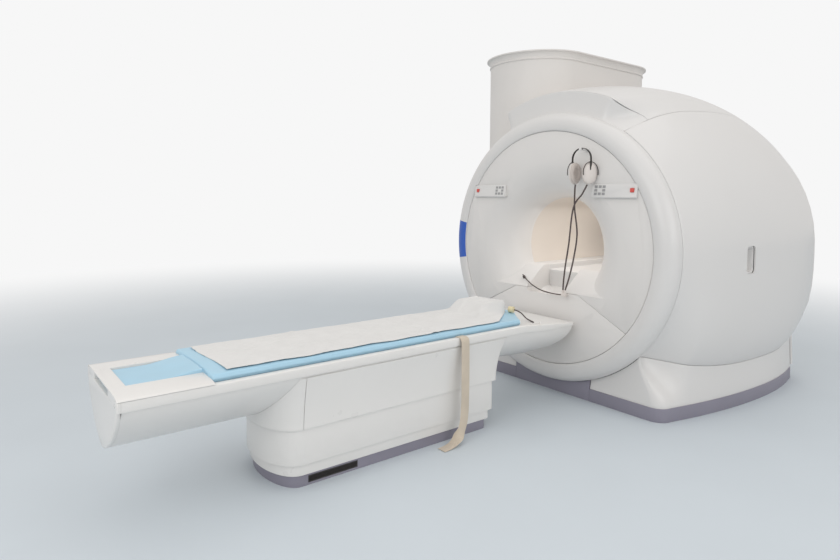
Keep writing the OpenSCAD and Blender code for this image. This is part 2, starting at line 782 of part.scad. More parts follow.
// Collar: a cove and a bead swept round the column's top
module collar_profile() {
  z0 = column_top - collar_h;
  polygon(concat(
    [[column_r - column_t, z0], [column_r + 4, z0], [column_r + 7, z0 + 5], [column_r + 4, z0 + 10]],
    [for (a = [0:15:90]) [column_r + 2 + collar_out * (1 - cos(a)), z0 + 14 + (collar_h - 22) * sin(a)]],
    [[column_r + 2 + collar_out, column_top], [column_r - column_t, column_top]]
  ));
}
module column_collar() {
  color(shade_white) for (end = [0, 1])
    translate([end > 0 ? column_x1 : column_x0, column_y, 0]) rotate([0, 0, end > 0 ? -90 : 90])
      rotate_extrude(angle = 180, $fn = 120) collar_profile();
  color(shade_white) for (side = [near, far]) translate([0, column_y, 0])
    mirror([0, side < 0 ? 1 : 0, 0]) along_x(column_x0, column_x1) collar_profile();
}

// Operator panels: wedge-shaped strips with a lip below
panel_back = -face_x + 24;
module panel(side) {
  intersection() {
    along_x(-face_x - 40, panel_back) panel_outline(side, 0);
    along_y(-ring_r, ring_r) polygon([
      [panel_back, panel_z0], [-face_x - panel_out + 6, panel_z0], [-face_x - panel_out, panel_z0 + 7],
      [-face_x - 3, panel_z1], [panel_back, panel_z1]
    ]);
  }
}
stop_y = panel_y1 - 28;
stop_z = panel_z0 + 44;
stop_seat = 10;
module stop_recess(side) {
  along_x(-face_x - 60, -face_x + stop_seat)
    rounded_rect(side * stop_y - stop_w / 2 - 1, stop_z - stop_w / 2 - 1,
                 side * stop_y + stop_w / 2 + 1, stop_z + stop_w / 2 + 1, 5);
}
module near_panel() {
  color(cover_white) difference() {
    panel(near);
    stop_recess(near);
  }
}
module far_panel() {
  color(cover_white) difference() {
    panel(far);
    stop_recess(far);
  }
}
module stop_button(side) {
  color("#e05a50") along_x(-face_x - panel_out + 1, -face_x + stop_seat - stop_travel - fit)
    rounded_rect(side * stop_y - stop_w / 2, stop_z - stop_w / 2,
                 side * stop_y + stop_w / 2, stop_z + stop_w / 2, 4);
}
module near_stop_button() { stop_button(near); }
module far_stop_button() { stop_button(far); }

// Key pads: a ring of eight flat keys round a larger one
key_w = 18;
key_pitch = 25;
key_y = panel_y0 + 51;
module key_pads() {
  tilt = atan((panel_out - 3) / (panel_z1 - panel_z0 - 7));
  mid_z = (panel_z0 + panel_z1 + 7) / 2;
  mid_x = -face_x - 3 - (panel_out - 3) / 2;
  color("#8d8f92") for (side = [near, far]) translate([mid_x, side * key_y, mid_z]) rotate([0, tilt, 0])
    for (i = [-1:1], j = [-1:1]) if (i != 0 || j != 0)
      translate([-1.2, i * key_pitch - key_w / 2, j * key_pitch * 0.8 - key_w * 0.4])
        cube([1.2, key_w, key_w * 0.8]);
}

// Headset on its peg
head_x = -872;
cup_z = peg_z - 132;
cup_in = 42;
module headset_peg() {
  color(cover_white) translate([-face_x, -peg_y, peg_z]) rotate([0, -90, 0]) {
    cylinder(r = 13, h = 5);
    cylinder(r = 5, h = 66);
    translate([0, 0, 64]) cylinder(r = 9, h = 5);
  }
}
module headset_band() {
  band_z = peg_z + 5 + 2 - band_r + fit;
  color("#2e2a2a") translate([head_x, -peg_y, band_z]) rotate([90, 0, 90]) {
    rotate_extrude(angle = 180, $fn = 96) translate([band_r - 2, -8]) square([4, 16]);
    for (side = [-1, 1]) translate([side * band_r - 2, -(band_z - cup_z - 12), -8])
      cube([4, band_z - cup_z - 12, 16]);
  }
}
module ear_cup(y, inward) {
  color("#efe9e4") translate([head_x, y, cup_z]) rotate([90, 0, 0]) hull() {
    for (s = [-1, 1]) translate([0, s * 18, -inward * 4]) {
      cylinder(r = 43, h = 16, center = true, $fn = 32);
      cylinder(r = 34, h = 34, center = true, $fn = 32);
    }
  }
}
cup_y = band_r - 2 - fit - 13;
module near_ear_cup() { ear_cup(-peg_y - cup_y, 1); }
module far_ear_cup() { ear_cup(-peg_y + cup_y, -1); }

// Air tubes of the headset, their joiner and the lead to the magnet, with heights from the bore axis
function from_axis(p) = [for (q = p) q + [0, 0, axis_h]];
far_tube_route = [[-872, -246, 373.4], [-876, -246, 335], [-880, -250, 240], [-872, -264, 100],
                  [-862, -240, -30], [-854, -205, -150], [-848, -172, -236]];
near_tube_route = [[-872, -324, 372], [-882, -300, 320], [-892, -250, 240], [-868, -206, 34],
                   [-858, -178, -90], [-851, -162, -180], [-848, -156, -237]];
module near_tube() { color(dark_grey) cord(from_axis(near_tube_route), tube_d, [1, 0, 0]); }
module far_tube() { color(dark_grey) cord(from_axis(far_tube_route), tube_d, [1, 0, 0]); }
joiner_x = -848;
joiner_z = -270;
module tube_joiner() {
  color("#ded8d2") translate([joiner_x, -164, axis_h + joiner_z]) {
    translate([0, 8, 14]) cylinder(r = tube_d / 2 + 1.5, h = 18, $fn = 32);
    translate([0, -8, 14]) cylinder(r = tube_d / 2 + 1.5, h = 18, $fn = 32);
    translate([-7, -16, -4]) cube([14, 32, 18]);
    rotate([0, 90, 0]) cylinder(r = 6, h = -joiner_x - face_x - fit, $fn = 32);
  }
}

// The lead's plug stands square on the docking ramp
plug_share = 0.26;
plug_y = 206;
plug_l = 14;
plug_tilt = atan2(ramp_high[1] - ramp_low[1], ramp_high[0] - ramp_low[0]);
function plug_at(d) = let(p = ramp_low + plug_share * (ramp_high - ramp_low))
  [p[0] - d * sin(plug_tilt), plug_y, p[1] + d * cos(plug_tilt)];
module lead_plug() {
  color("#4f4a48") translate(plug_at(0)) rotate([0, -plug_tilt, 0]) cylinder(r = 9, h = plug_l, $fn = 32);
}
lead_route = [[-848, -147, -267], [-838, -90, -270.5], [-824, -30, -271], [-813, 40, -265],
              [-811, 105, -243], [-800, 150, -224], [-793, 182, -206]];
module headset_lead() {
  color(dark_grey) cord(concat(from_axis(lead_route), [plug_at(plug_l + 12), plug_at(plug_l + 0.6)]),
                        7, [0, 0.3, 1], steps = 2);
}

// Heights inside the pedestal: the covers reach up into each other
mid_tube_top = beam_bottom - 3;
mid_plate_z = mid_tube_top - 4 - ped_t;
lower_top = mid_plate_z - 3;
mid_top = fold_z - 80;

// Pedestal covers in plan: straight sides, a round nose and small rear corners
function ped_plan(w, rear, grow) = let(nose = ped_nose_x + (w < ped_w ? 2 : 1) * (w - ped_w)) concat(
  [for (a = [90:10:270]) [-ped_seam_x + (nose - ped_seam_x + grow) * cos(a), (w + grow) * sin(a)]],
  [for (a = [270:30:360]) [-rear - 25 + (25 + grow) * cos(a), -w + 25 + (25 + grow) * sin(a)]],
  [for (a = [0:30:90]) [-rear - 25 + (25 + grow) * cos(a), w - 25 + (25 + grow) * sin(a)]]
);
module ped_plate(w, rear, z0, z1, w_in = 0, rear_in = 0) {
  translate([0, 0, z0]) linear_extrude(z1 - z0) difference() {
    polygon(ped_plan(w, rear, -1));
    if (w_in > 0) polygon(ped_plan(w_in, rear_in, -ped_t));
  }
}
module ped_wall(w, rear, z0, z1) {
  translate([0, 0, z0]) linear_extrude(z1 - z0) difference() {
    polygon(ped_plan(w, rear, 0));
    polygon(ped_plan(w, rear, -ped_t));
  }
}
module beyond_seam(x) {
  translate([-big, -big / 2, -big / 2]) cube([big - x, big, big]);
}

vent_x0 = -2530;
vent_x1 = -2290;
module table_plinth() {
  color(plinth_grey) difference() {
    ped_wall(ped_plinth_w, ped_rear_x + 3 * ped_rear_step, 0, ped_plinth_h);
    translate([vent_x0, -ped_plinth_w - 1, 10]) cube([vent_x1 - vent_x0, ped_t + 2, ped_plinth_h - 20]);
  }
}
module vent_grille() {
  slats = 16;
  pitch = (vent_x1 - vent_x0 - 2 * fit) / slats;
  color(dark_grey) translate([vent_x0 + fit, -ped_plinth_w, 10 + fit]) difference() {
    cube([vent_x1 - vent_x0 - 2 * fit, ped_t, ped_plinth_h - 20 - 2 * fit]);
    for (i = [0:slats - 1]) translate([pitch * (i + 0.2), -1, 4])
      cube([pitch * 0.6, ped_t + 2, ped_plinth_h - 28 - 2 * fit]);
  }
}
module lower_cover() {
  rear = ped_rear_x + 2 * ped_rear_step;
  color(cover_white) {
    ped_wall(ped_low_w, rear, ped_plinth_h, lower_top);
    ped_plate(ped_low_w, rear, ped_plinth_h, ped_plinth_h + ped_t, ped_plinth_w, rear + ped_rear_step);
  }
}
module mid_cover() {
  rear = ped_rear_x + ped_rear_step;
  color(cover_white) difference() {
    union() {
      ped_wall(ped_mid_w, rear, ped_seam_low, mid_top);
      ped_plate(ped_mid_w, rear, mid_plate_z, mid_plate_z + ped_t);
    }
    beam_skin(4);
    at_lifts() cylinder(r = lift_mid_r + fit, h = big);
  }
}
upper_top = fold_z - 8;
upper_zs = [0, 0.25, 0.5, 0.7, 0.85, 1];
function upper_ring(t, grow, lift_z) = let(
  w = ped_w - 2 + (rim_w - 7 - ped_w + 2) * pow(t, 1.7), rear = ped_rear_x - 50 * pow(t, 2.5))
  [for (q = ped_plan(w, rear, grow)) [q[0], q[1], ped_seam_high + (upper_top - ped_seam_high) * t + lift_z]];
module upper_band() {
  difference() {
    skin([for (t = upper_zs) upper_ring(t, 0, 0)]);
    skin([for (t = upper_zs) upper_ring(t, -ped_t, t < 0.1 ? -1 : t > 0.9 ? 1 : 0)]);
    beam_skin(fit);
  }
}
module upper_cover() {
  color(cover_white) difference() {
    upper_band();
    beyond_seam(ped_seam_x);
  }
}
module upper_nose() {
  color(cover_white) intersection() {
    upper_band();
    beyond_seam(ped_seam_x + seam_gap);
  }
}

// Lift: a floor frame, and tubes that slide in each other
module at_lifts() {
  for (x = [lift_x0, lift_x1]) translate([x, 0, 0]) children();
}
module base_frame() {
  color(dark_grey) linear_extrude(frame_t) intersection() {
    polygon(ped_plan(ped_plinth_w, ped_rear_x + 3 * ped_rear_step, -ped_t - fit));
    translate([-ped_seam_x, -ped_w]) square([ped_seam_x, 2 * ped_w]);
  }
}
lift_z0 = frame_t;
lift_len = beam_bottom - lift_z0 - 20;
module lift_outer_tubes() {
  color(metal_grey) at_lifts() translate([0, 0, lift_z0]) difference() {
    cylinder(r = lift_r, h = lift_len);
    translate([0, 0, 6]) cylinder(r = lift_r - tube_t, h = lift_len);
  }
}
module lift_middle_tubes() {
  z0 = lift_z0 + 6 + fit;
  color(metal_grey) at_lifts() translate([0, 0, z0]) difference() {
    cylinder(r = lift_mid_r, h = mid_tube_top - z0);
    translate([0, 0, 6]) cylinder(r = lift_mid_r - tube_t, h = mid_tube_top);
  }
}
module lift_inner_tubes() {
  z0 = lift_z0 + 12 + 2 * fit;
  color(metal_grey) at_lifts() translate([0, 0, z0]) difference() {
    cylinder(r = lift_in_r, h = beam_bottom - z0);
    translate([0, 0, 6]) cylinder(r = lift_in_r - tube_t, h = beam_bottom - z0 - 20);
  }
}

// Beam: a trough with a rim, tapering to a nose at the head end
function beam_half(x) =
  x < -1180 ? rim_w - 10 : rim_w - 10 - (rim_w - 10 - tip_w) * pow((x + 1180) / (1180 - tip_x), 2);
function beam_depth(x) =
  let(body = nose_d + (beam_d - nose_d) * pow(clamp01(-(x + nose_x) / (beam_taper_x - nose_x)), 1.6),
      e = clamp01((x + nose_x + 20) / (nose_x + 20 - tip_x)))
  nose_flat + (body - nose_flat) * sqrt(1 - e * e);
function beam_top(x) = rim_z - nose_drop * clamp01((x + nose_start_x) / (nose_start_x - tip_x));
function beam_curve(x) = beam_power + (nose_power - beam_power) * smooth((x + beam_taper_x) / 600);
function beam_fold(x) = min(fold_z, beam_top(x) - rim_h * (1 - 0.5 * smooth((x + 1180) / 300)));
function beam_ring(x, grow) = let(b = beam_half(x), d = beam_depth(x), f = beam_fold(x), e = beam_curve(x)) [
  for (j = [-12:12]) let(y = (b + grow) * sin(7.5 * j), q = pow(abs(y) / (b + grow), e))
    [x, y, f - (d + grow) * pow(max(0, 1 - q), 1 / e)],
  [x, b + 10 + grow, f + 2], [x, b + 10 + grow, beam_top(x) - 4], [x, b + 6 + grow, beam_top(x)],
  [x, -b - 6 - grow, beam_top(x)], [x, -b - 10 - grow, beam_top(x) - 4], [x, -b - 10 - grow, f + 2]
];
beam_xs = concat([-foot_x + 18, -2600, -1960], [for (i = [0:4]) -beam_taper_x + 100 * i],
  [for (i = [0:5]) -nose_start_x + 60 * i],
  [for (a = [0, 20, 40, 55, 68, 79, 90]) -nose_x - 20 + (nose_x + 20 - tip_x) * sin(a)]);
module beam_skin(grow) {
  skin([for (x = beam_xs) beam_ring(x, grow)]);
}
cavity_w = 176;
cavity_low = 60;
module channel() {
  translate([-foot_x, -top_w - rail_gap, rail_z]) cube([foot_x - tip_x + 1, 2 * (top_w + rail_gap), rim_h]);
}
module table_beam() {
  color(cover_white) difference() {
    beam_skin(0);
    channel();
    along_x(cavity_x0, cavity_x1) polygon([
      [-cavity_low, beam_bottom + 24], [cavity_low, beam_bottom + 24],
      [cavity_w, fold_z - 20], [rail_inner, rail_z + 1], [-rail_inner, rail_z + 1], [-cavity_w, fold_z - 20]
    ]);
  }
}

// Foot end: a closing plate
module foot_cap() {
  color(cover_white) difference() {
    skin([beam_ring(-foot_x + 4, -6), beam_ring(-foot_x + 8, 0), beam_ring(-foot_x + 18 - fit, 0)]);
    channel();
  }
}

clamp_x = -2440;
module tabletop() {
  color(cover_white) translate([-top_foot_x, -top_w, top_z0])
    cube([top_foot_x - top_head_x, 2 * top_w, top_t]);
  belt_top = pulley_z + pulley_r + fit + belt_t;
  color(cover_white) translate([clamp_x - 30, -belt_w / 2, belt_top])
    cube([60, belt_w, top_z0 - belt_top]);
}

// Foot frame: two arms and a bar with a grip slot, on the rim and on the tabletop's foot end
frame_bar = 20;
frame_in = 130;
frame_rise = 14;
slot_w = 120;
slot_z0 = rail_z + 3;
slot_h = 25;
module foot_frame() {
  z0 = rim_z + fit;
  low = top_w - 1;
  color(cover_white) difference() {
    union() {
      along_x(frame_x0, frame_x0 + frame_l) polygon([
        [-rim_w - 2, z0], [-low, z0], [-low, top_z1 + fit], [low, top_z1 + fit], [low, z0], [rim_w + 2, z0],
        [rim_w + 2, z0 + 2.5], [rim_w - 10, z0 + 8], [rim_w - 40, z0 + frame_rise - 2], [frame_in, z0 + frame_rise],
        [-frame_in, z0 + frame_rise], [-rim_w + 40, z0 + frame_rise - 2], [-rim_w + 10, z0 + 8],
        [-rim_w - 2, z0 + 2.5]
      ]);
      translate([frame_x0, -low, rail_z + fit]) cube([-top_foot_x - frame_x0, 2 * low, top_t + 2 * fit]);
    }
    translate([frame_x0 + frame_bar, -frame_in, rail_z - 1]) cube([frame_l, 2 * frame_in, rim_h + frame_rise]);
    translate([frame_x0 - 1, -slot_w, slot_z0]) cube([frame_bar + 2, 2 * slot_w, slot_h]);
  }
}

// Soft pieces that lie on the tabletop
tongue_w = frame_in - 5;
tongue_h = frame_rise;
corner_l = 140;
corner_w = 158;
module mattress() {
  color(soft_blue) difference() {
    union() {
      translate([mattress_x0, 0, 0]) along_x(0, mattress_x1 - mattress_x0)
        rounded_rect(-mattress_w, top_z1 + fit, mattress_w, mattress_z1, 8);
      translate([frame_x0 + frame_bar + fit, -tongue_w, top_z1 + fit])
        cube([frame_l, 2 * tongue_w, tongue_h]);
    }
    for (side = [near, far]) translate([mattress_x1 + 1, side * (mattress_w + 1), top_z1])
      mirror([0, side < 0 ? 0 : 1, 0]) linear_extrude(2 * mattress_t)
        polygon([[0, 0], [0, corner_w], [-15, corner_w], [-corner_l, 0]]);
  }
}
cushion_x0 = -1440;
cushion_x1 = -1225;
cushion_t = 60;
cushion_w = 165;
module head_cushion() {
  z0 = mattress_z1 + fit;
  color("#e4e2df") along_y(-cushion_w, cushion_w) polygon([
    [cushion_x0, z0], [cushion_x1, z0], [cushion_x1 + 4, z0 + 20], [cushion_x1 - 14, z0 + cushion_t],
    [cushion_x0 + 60, z0 + cushion_t - 6], [cushion_x0 + 6, z0 + 12]
  ]);
}
sheet_x0 = -2875;
sheet_y0 = -208;
sheet_y1 = 200;
sheet_t = 3;
module sheet() {
  z0 = mattress_z1 + fit;
  function over(t) = [[sheet_x0, z0 + t], [cushion_x0 - 6, z0 + t], [cushion_x0, z0 + 14 + t],
    [cushion_x0 + 58, z0 + cushion_t - 5 + t], [cushion_x1 - 13, z0 + cushion_t + 1 + t]];
  color("#dcdcda") along_y(sheet_y0, sheet_y1)
    polygon(concat(over(0), [for (i = [4:-1:0]) over(sheet_t)[i]]));
}

// Strap: over the near rim, down beside the pedestal and along the floor
strap_x = -1728;
strap_w = 52;
strap_t = 3;
strap_y = -(rim_w + 14);
module strap() {
  color("#d8cabb") union() {
    along_x(strap_x - strap_w / 2, strap_x + strap_w / 2) polygon([
      [-mattress_w - 2, rim_z + fit], [-rim_w, rim_z + fit], [strap_y, rim_z - 8], [strap_y, 150],
      [strap_y - strap_t, 150], [strap_y - strap_t, rim_z - 6], [-rim_w - 1, rim_z + fit + strap_t],
      [-mattress_w - 2, rim_z + fit + strap_t]
    ]);
    along_y(strap_y - strap_t, strap_y) polygon([
      [strap_x - strap_w / 2, 152], [strap_x + strap_w / 2, 152], [strap_x + strap_w / 2 - 2, 100],
      [strap_x + strap_w / 2 - 22, 50], [strap_x - 70, 14], [strap_x - 150, 0.5], [strap_x - 172, 0.5],
      [strap_x - 110, 34], [strap_x - strap_w / 2 - 20, 74], [strap_x - strap_w / 2 - 2, 110]
    ]);
  }
}

// Belt drive of the tabletop
module drive_belt() {
  r0 = pulley_r + fit;
  r1 = r0 + belt_t;
  module loop(r) {
    for (x = [pulley_x0, pulley_x1]) translate([x, pulley_z]) circle(r = r);
    translate([pulley_x0, pulley_z - r]) square([pulley_x1 - pulley_x0, 2 * r]);
  }
  color(dark_grey) along_y(-belt_w / 2, belt_w / 2) difference() {
    loop(r1 - 0.3);
    loop(r0);
  }
}
module pulley(x) {
  color(metal_grey) translate([x, 0, pulley_z]) rotate([90, 0, 0]) difference() {
    union() {
      cylinder(r = pulley_r, h = belt_w + 2, center = true);
      cylinder(r = shaft_r + 8, h = belt_w + 16, center = true);
    }
    cylinder(r = shaft_r + fit, h = belt_w + 40, center = true);
  }
}
module drive_pulley() { pulley(pulley_x1); }
module idler_pulley() { pulley(pulley_x0); }
module drive_unit() {
  wall_y = 128;
  color(dark_grey) for (x = [pulley_x0, pulley_x1]) translate([x, 0, pulley_z]) {
    rotate([90, 0, 0]) cylinder(r = shaft_r, h = 2 * 60, center = true);
    for (side = [near, far]) translate([-16, side > 0 ? 46 : -58, -(pulley_z - beam_bottom - 24)])
      cube([32, 12, pulley_z - beam_bottom - 24 + 14]);
  }
  color(metal_grey) translate([pulley_x1, 0, pulley_z]) rotate([-90, 0, 0]) translate([0, 0, 58])
    cylinder(r = 34, h = wall_y - 58);
}

// Call bulb and its hose, lying on the head end of the tabletop
bulb_r = 17;
bulb_l = 30;
bulb_x = -1200;
bulb_y = -80;
bulb_turn = 20;
bulb_z = mattress_z1 + bulb_r + fit;
hose_d = 7;
hose_z = top_z1 + hose_d / 2 + fit;
function bulb_at(d, dz) = [bulb_x + d * sin(bulb_turn), bulb_y - d * cos(bulb_turn), bulb_z + dz];
hose_route = concat(
  [for (p = [[-1180, -222, 0], [-1170, -205, 0], [-1160, -180, 0], [-1163, -155, 9], [-1175, -134, 32]])
    p + [0, 0, hose_z]],
  [bulb_at(bulb_r + 20, -4), bulb_at(bulb_r + 0.6, 0)]);
module call_hose() {
  color(dark_grey) cord(hose_route, hose_d, [0, 0, 1], steps = 2);
}
module call_bulb() {
  color("#e6dcb8") translate([bulb_x, bulb_y, bulb_z]) rotate([90, 0, bulb_turn]) {
    cylinder(r = bulb_r, h = bulb_l, center = true, $fn = 48);
    sphere(r = bulb_r, $fn = 48);
  }
}

front_face_cover();
lower_front_cover();
front_ring();
cowl_band();
top_cover();
near_side_cover();
far_side_cover();
rear_cover();
near_skirt();
far_skirt();
magnet_plinth();
magnet_cryostat();
gradient_coil();
body_coil();
bore_liner();
bore_bridge();
magnet_feet();
cold_head();
quench_pipe();
service_column();
column_collar();
near_panel();
far_panel();
key_pads();
near_stop_button();
far_stop_button();
side_grips();
headset_peg();
headset_band();
near_ear_cup();
far_ear_cup();
near_tube();
far_tube();
tube_joiner();
headset_lead();
lead_plug();
table_plinth();
vent_grille();
lower_cover();
mid_cover();
upper_cover();
upper_nose();
base_frame();
lift_outer_tubes();
lift_middle_tubes();
lift_inner_tubes();
table_beam();
foot_cap();
tabletop();
foot_frame();
mattress();
head_cushion();
sheet();
strap();
drive_belt();
drive_pulley();
idler_pulley();
drive_unit();
call_hose();
call_bulb();
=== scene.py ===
import bpy
import bmesh
import json
import random
from math import atan2, copysign, cos, pi, radians, sin, sqrt
import numpy as np
from mathutils import Matrix, Vector

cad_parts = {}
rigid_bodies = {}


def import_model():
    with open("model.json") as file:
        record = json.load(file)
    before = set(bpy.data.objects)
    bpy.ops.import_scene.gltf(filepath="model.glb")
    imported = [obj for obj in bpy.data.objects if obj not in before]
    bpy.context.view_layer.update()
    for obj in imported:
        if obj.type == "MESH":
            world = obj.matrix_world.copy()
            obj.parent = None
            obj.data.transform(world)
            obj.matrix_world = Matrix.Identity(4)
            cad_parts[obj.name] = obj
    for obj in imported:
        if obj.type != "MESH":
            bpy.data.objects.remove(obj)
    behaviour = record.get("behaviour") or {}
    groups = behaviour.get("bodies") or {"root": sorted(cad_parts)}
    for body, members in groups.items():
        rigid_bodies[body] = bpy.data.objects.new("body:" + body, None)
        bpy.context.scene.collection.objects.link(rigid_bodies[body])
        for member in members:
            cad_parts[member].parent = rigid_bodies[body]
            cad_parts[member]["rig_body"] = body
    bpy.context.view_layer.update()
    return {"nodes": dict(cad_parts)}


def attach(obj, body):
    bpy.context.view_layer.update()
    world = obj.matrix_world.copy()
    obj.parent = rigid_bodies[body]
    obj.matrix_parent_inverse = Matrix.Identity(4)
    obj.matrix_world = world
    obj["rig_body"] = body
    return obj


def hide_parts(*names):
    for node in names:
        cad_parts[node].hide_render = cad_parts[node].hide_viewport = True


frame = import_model()
nodes = frame["nodes"]
scene = bpy.context.scene
# Height of the bore's axis; sizes are in metres, +X runs into the bore and Z = 0 is the floor
axisH = 0.880
print("frame loaded", len(nodes), "nodes")

# Camera, fitted to the photograph; angles in radians, lens and sensor in millimetres

camera = {"spot": (-3.66, -2.33, 1.191), "yaw": 0.923, "pitch": 0.049, "roll": -0.006,
          "lens": 25.45, "sensor": 36, "shiftX": 0.0199, "shiftY": -0.067, "clip": (0.02, 60)}


def makeCamera():
    cy, sy = cos(camera["yaw"]), sin(camera["yaw"])
    cp, sp = cos(camera["pitch"]), sin(camera["pitch"])
    cr, sr = cos(camera["roll"]), sin(camera["roll"])
    ahead = Vector((cy * cp, sy * cp, -sp))
    right = Vector((sy, -cy, 0))
    down = ahead.cross(right)
    rolledRight = cr * right + sr * down
    rolledDown = -sr * right + cr * down
    data = bpy.data.cameras.new("camera")
    data.lens = camera["lens"]
    data.sensor_width = camera["sensor"]
    data.shift_x = camera["shiftX"]
    data.shift_y = camera["shiftY"]
    data.clip_start, data.clip_end = camera["clip"]
    obj = bpy.data.objects.new("camera", data)
    scene.collection.objects.link(obj)
    turn = Matrix((rolledRight, -rolledDown, -ahead)).transposed()
    obj.matrix_world = Matrix.Translation(camera["spot"]) @ turn.to_4x4()
    scene.camera = obj


makeCamera()

# Materials: each is a Principled shader with slow changes of colour and gloss, and a fine grain where it has one

surface = {"coatRough": 0.12, "cloud": (0.35, 0.65), "glossScale": 4, "leastRough": 0.02, "grainDetail": 6,
           "grain": 0.5, "weave": 0.6, "waver": 0.4}


def linear(text):
    parts = [int(text[i:i + 2], 16) / 255 for i in (1, 3, 5)]
    return tuple(c / 12.92 if c <= 0.04045 else ((c + 0.055) / 1.055) ** 2.4 for c in parts) + (1.0,)


# A node with its inputs set, or linked where the value is another node's output; _ stands for a space in a name
def makeNode(tree, kind, **inputs):
    node = tree.nodes.new(kind)
    setInputs(node, inputs)
    return node


def setInputs(node, inputs):
    for name, value in inputs.items():
        socket = node.inputs[name.replace("_", " ")]
        if isinstance(value, bpy.types.NodeSocket):
            node.id_data.links.new(value, socket)
        else:
            socket.default_value = value


def noise(tree, scale, detail=4):
    coords = makeNode(tree, "ShaderNodeTexCoord").outputs["Object"]
    return makeNode(tree, "ShaderNodeTexNoise", Scale=scale, Detail=detail, Vector=coords).outputs["Fac"]


def makeMaterial(name, colour, rough, coat=0.0, metal=0.0, bump=0.0, bumpScale=60, tint=0.03, tintScale=3, sheen=0.0,
                 spread=0.06):
    mat = bpy.data.materials.new(name)
    mat.use_nodes = True
    tree = mat.node_tree
    base = linear(colour)
    ramp = makeNode(tree, "ShaderNodeValToRGB", Fac=noise(tree, tintScale))
    for stop, place, share in zip(ramp.color_ramp.elements, surface["cloud"], (1 - tint, 1 + tint)):
        stop.position = place
        stop.color = tuple(min(1.0, c * share) for c in base[:3]) + (1.0,)
    gloss = makeNode(tree, "ShaderNodeMapRange", Value=noise(tree, tintScale * surface["glossScale"]),
                     To_Min=max(surface["leastRough"], rough - spread), To_Max=rough + spread)
    shader = tree.nodes["Principled BSDF"]
    setInputs(shader, {"Metallic": metal, "Coat Weight": coat, "Coat Roughness": surface["coatRough"],
                       "Sheen Weight": sheen, "Base Color": ramp.outputs["Color"],
                       "Roughness": gloss.outputs["Result"]})
    if bump > 0:
        relief = makeNode(tree, "ShaderNodeBump", Strength=surface["grain"], Distance=bump,
                          Height=noise(tree, bumpScale, surface["grainDetail"]))
        setInputs(shader, {"Normal": relief.outputs["Normal"]})
    return mat


def addWeave(mat, scale, depth):
    tree = mat.node_tree
    shader = tree.nodes["Principled BSDF"]
    coords = makeNode(tree, "ShaderNodeTexCoord").outputs["Object"]
    both = makeNode(tree, "ShaderNodeMath")
    both.operation = "MULTIPLY"
    for socket, direction in zip(both.inputs, "XY"):
        wave = makeNode(tree, "ShaderNodeTexWave", Scale=scale, Distortion=surface["waver"], Vector=coords)
        wave.bands_direction = direction
        tree.links.new(wave.outputs["Fac"], socket)
    relief = makeNode(tree, "ShaderNodeBump", Strength=surface["weave"], Distance=depth, Height=both.outputs["Value"])
    old = shader.inputs["Normal"].links
    if old:
        setInputs(relief, {"Normal": old[0].from_socket})
    setInputs(shader, {"Normal": relief.outputs["Normal"]})


looks = {
    "cover": ("#dbd9d7", 0.34, dict(coat=0.25, bump=0.00012, bumpScale=9, tint=0.012, tintScale=1.2)),
    "face": ("#e0ddda", 0.42, dict(coat=0.12, bump=0.0001, bumpScale=9, tint=0.012, tintScale=1.5)),
    "trim": ("#dcdad8", 0.42, dict(coat=0.1, bump=0.0001, bumpScale=12, tint=0.015)),
    "column": ("#dedad6", 0.5, dict(bump=0.0002, bumpScale=14, tint=0.02, tintScale=2)),
    "table": ("#e4e2df", 0.3, dict(coat=0.3, bump=0.0001, bumpScale=10, tint=0.012, tintScale=1.6)),
    "liner": ("#e2d9cf", 0.45, dict(tint=0.02)),
    "plinth": ("#8a8794", 0.5, dict(bump=0.0002, bumpScale=180, tint=0.04)),
    "dark": ("#3f3c3b", 0.5, dict(tint=0.08, bump=0.0001, bumpScale=90)),
    "steel": ("#b4b7ba", 0.32, dict(metal=1.0, tint=0.03, bump=0.0001, bumpScale=120)),
    "vessel": ("#a9adb1", 0.4, dict(metal=1.0, tint=0.04)),
    "coil": ("#b99a66", 0.55, dict(tint=0.06)),
    "key": ("#9c9c9c", 0.5, dict(tint=0.05)),
    "stop": ("#d8554c", 0.35, dict(coat=0.3, tint=0.03)),
    "label": ("#2c5cba", 0.4, dict(coat=0.2, tint=0.03)),
    "rubber": ("#544846", 0.55, dict(tint=0.08, bump=0.0001, bumpScale=150)),
    "band": ("#2b2625", 0.5, dict(tint=0.1, bump=0.0001, bumpScale=120)),
    "ear": ("#ddd5cf", 0.45, dict(coat=0.1, tint=0.02)),
    "pad": ("#c9bfb8", 0.7, dict(tint=0.04, bump=0.0003, bumpScale=140, sheen=0.2)),
    "cream": ("#ddd0a8", 0.45, dict(coat=0.1, tint=0.04)),
    "vinyl": ("#a9cfe3", 0.42, dict(coat=0.08, tint=0.03, tintScale=5, bump=0.0003, bumpScale=150)),
    "linen": ("#dcdbd9", 0.85, dict(tint=0.02, tintScale=9, bump=0.0004, bumpScale=260, sheen=0.25)),
    "webbing": ("#cfc2b0", 0.85, dict(tint=0.05, tintScale=14, sheen=0.2)),
    "floor": ("#cdd5db", 0.6, dict(tint=0.01, tintScale=2)),
}
mats = {name: makeMaterial(name, colour, rough, **more) for name, (colour, rough, more) in looks.items()}
addWeave(mats["linen"], 260, 0.0002)
addWeave(mats["webbing"], 190, 0.0006)
print("materials made", len(mats))

# Mesh helpers: grids, skins and turned shapes, all with their normals outward

# How near two points of a CAD mesh are joined, and how flat an edge between two faces is dropped
weld = {"near": 0.00002, "flat": radians(0.4)}


def newObject(name, verts, faces, mat, smooth=30):
    mesh = bpy.data.meshes.new(name)
    mesh.from_pydata([tuple(map(float, v)) for v in verts], [], [tuple(f) for f in faces])
    mesh.validate()
    obj = bpy.data.objects.new(name, mesh)
    scene.collection.objects.link(obj)
    mesh.materials.append(mats[mat])
    shade(obj, smooth)
    return obj


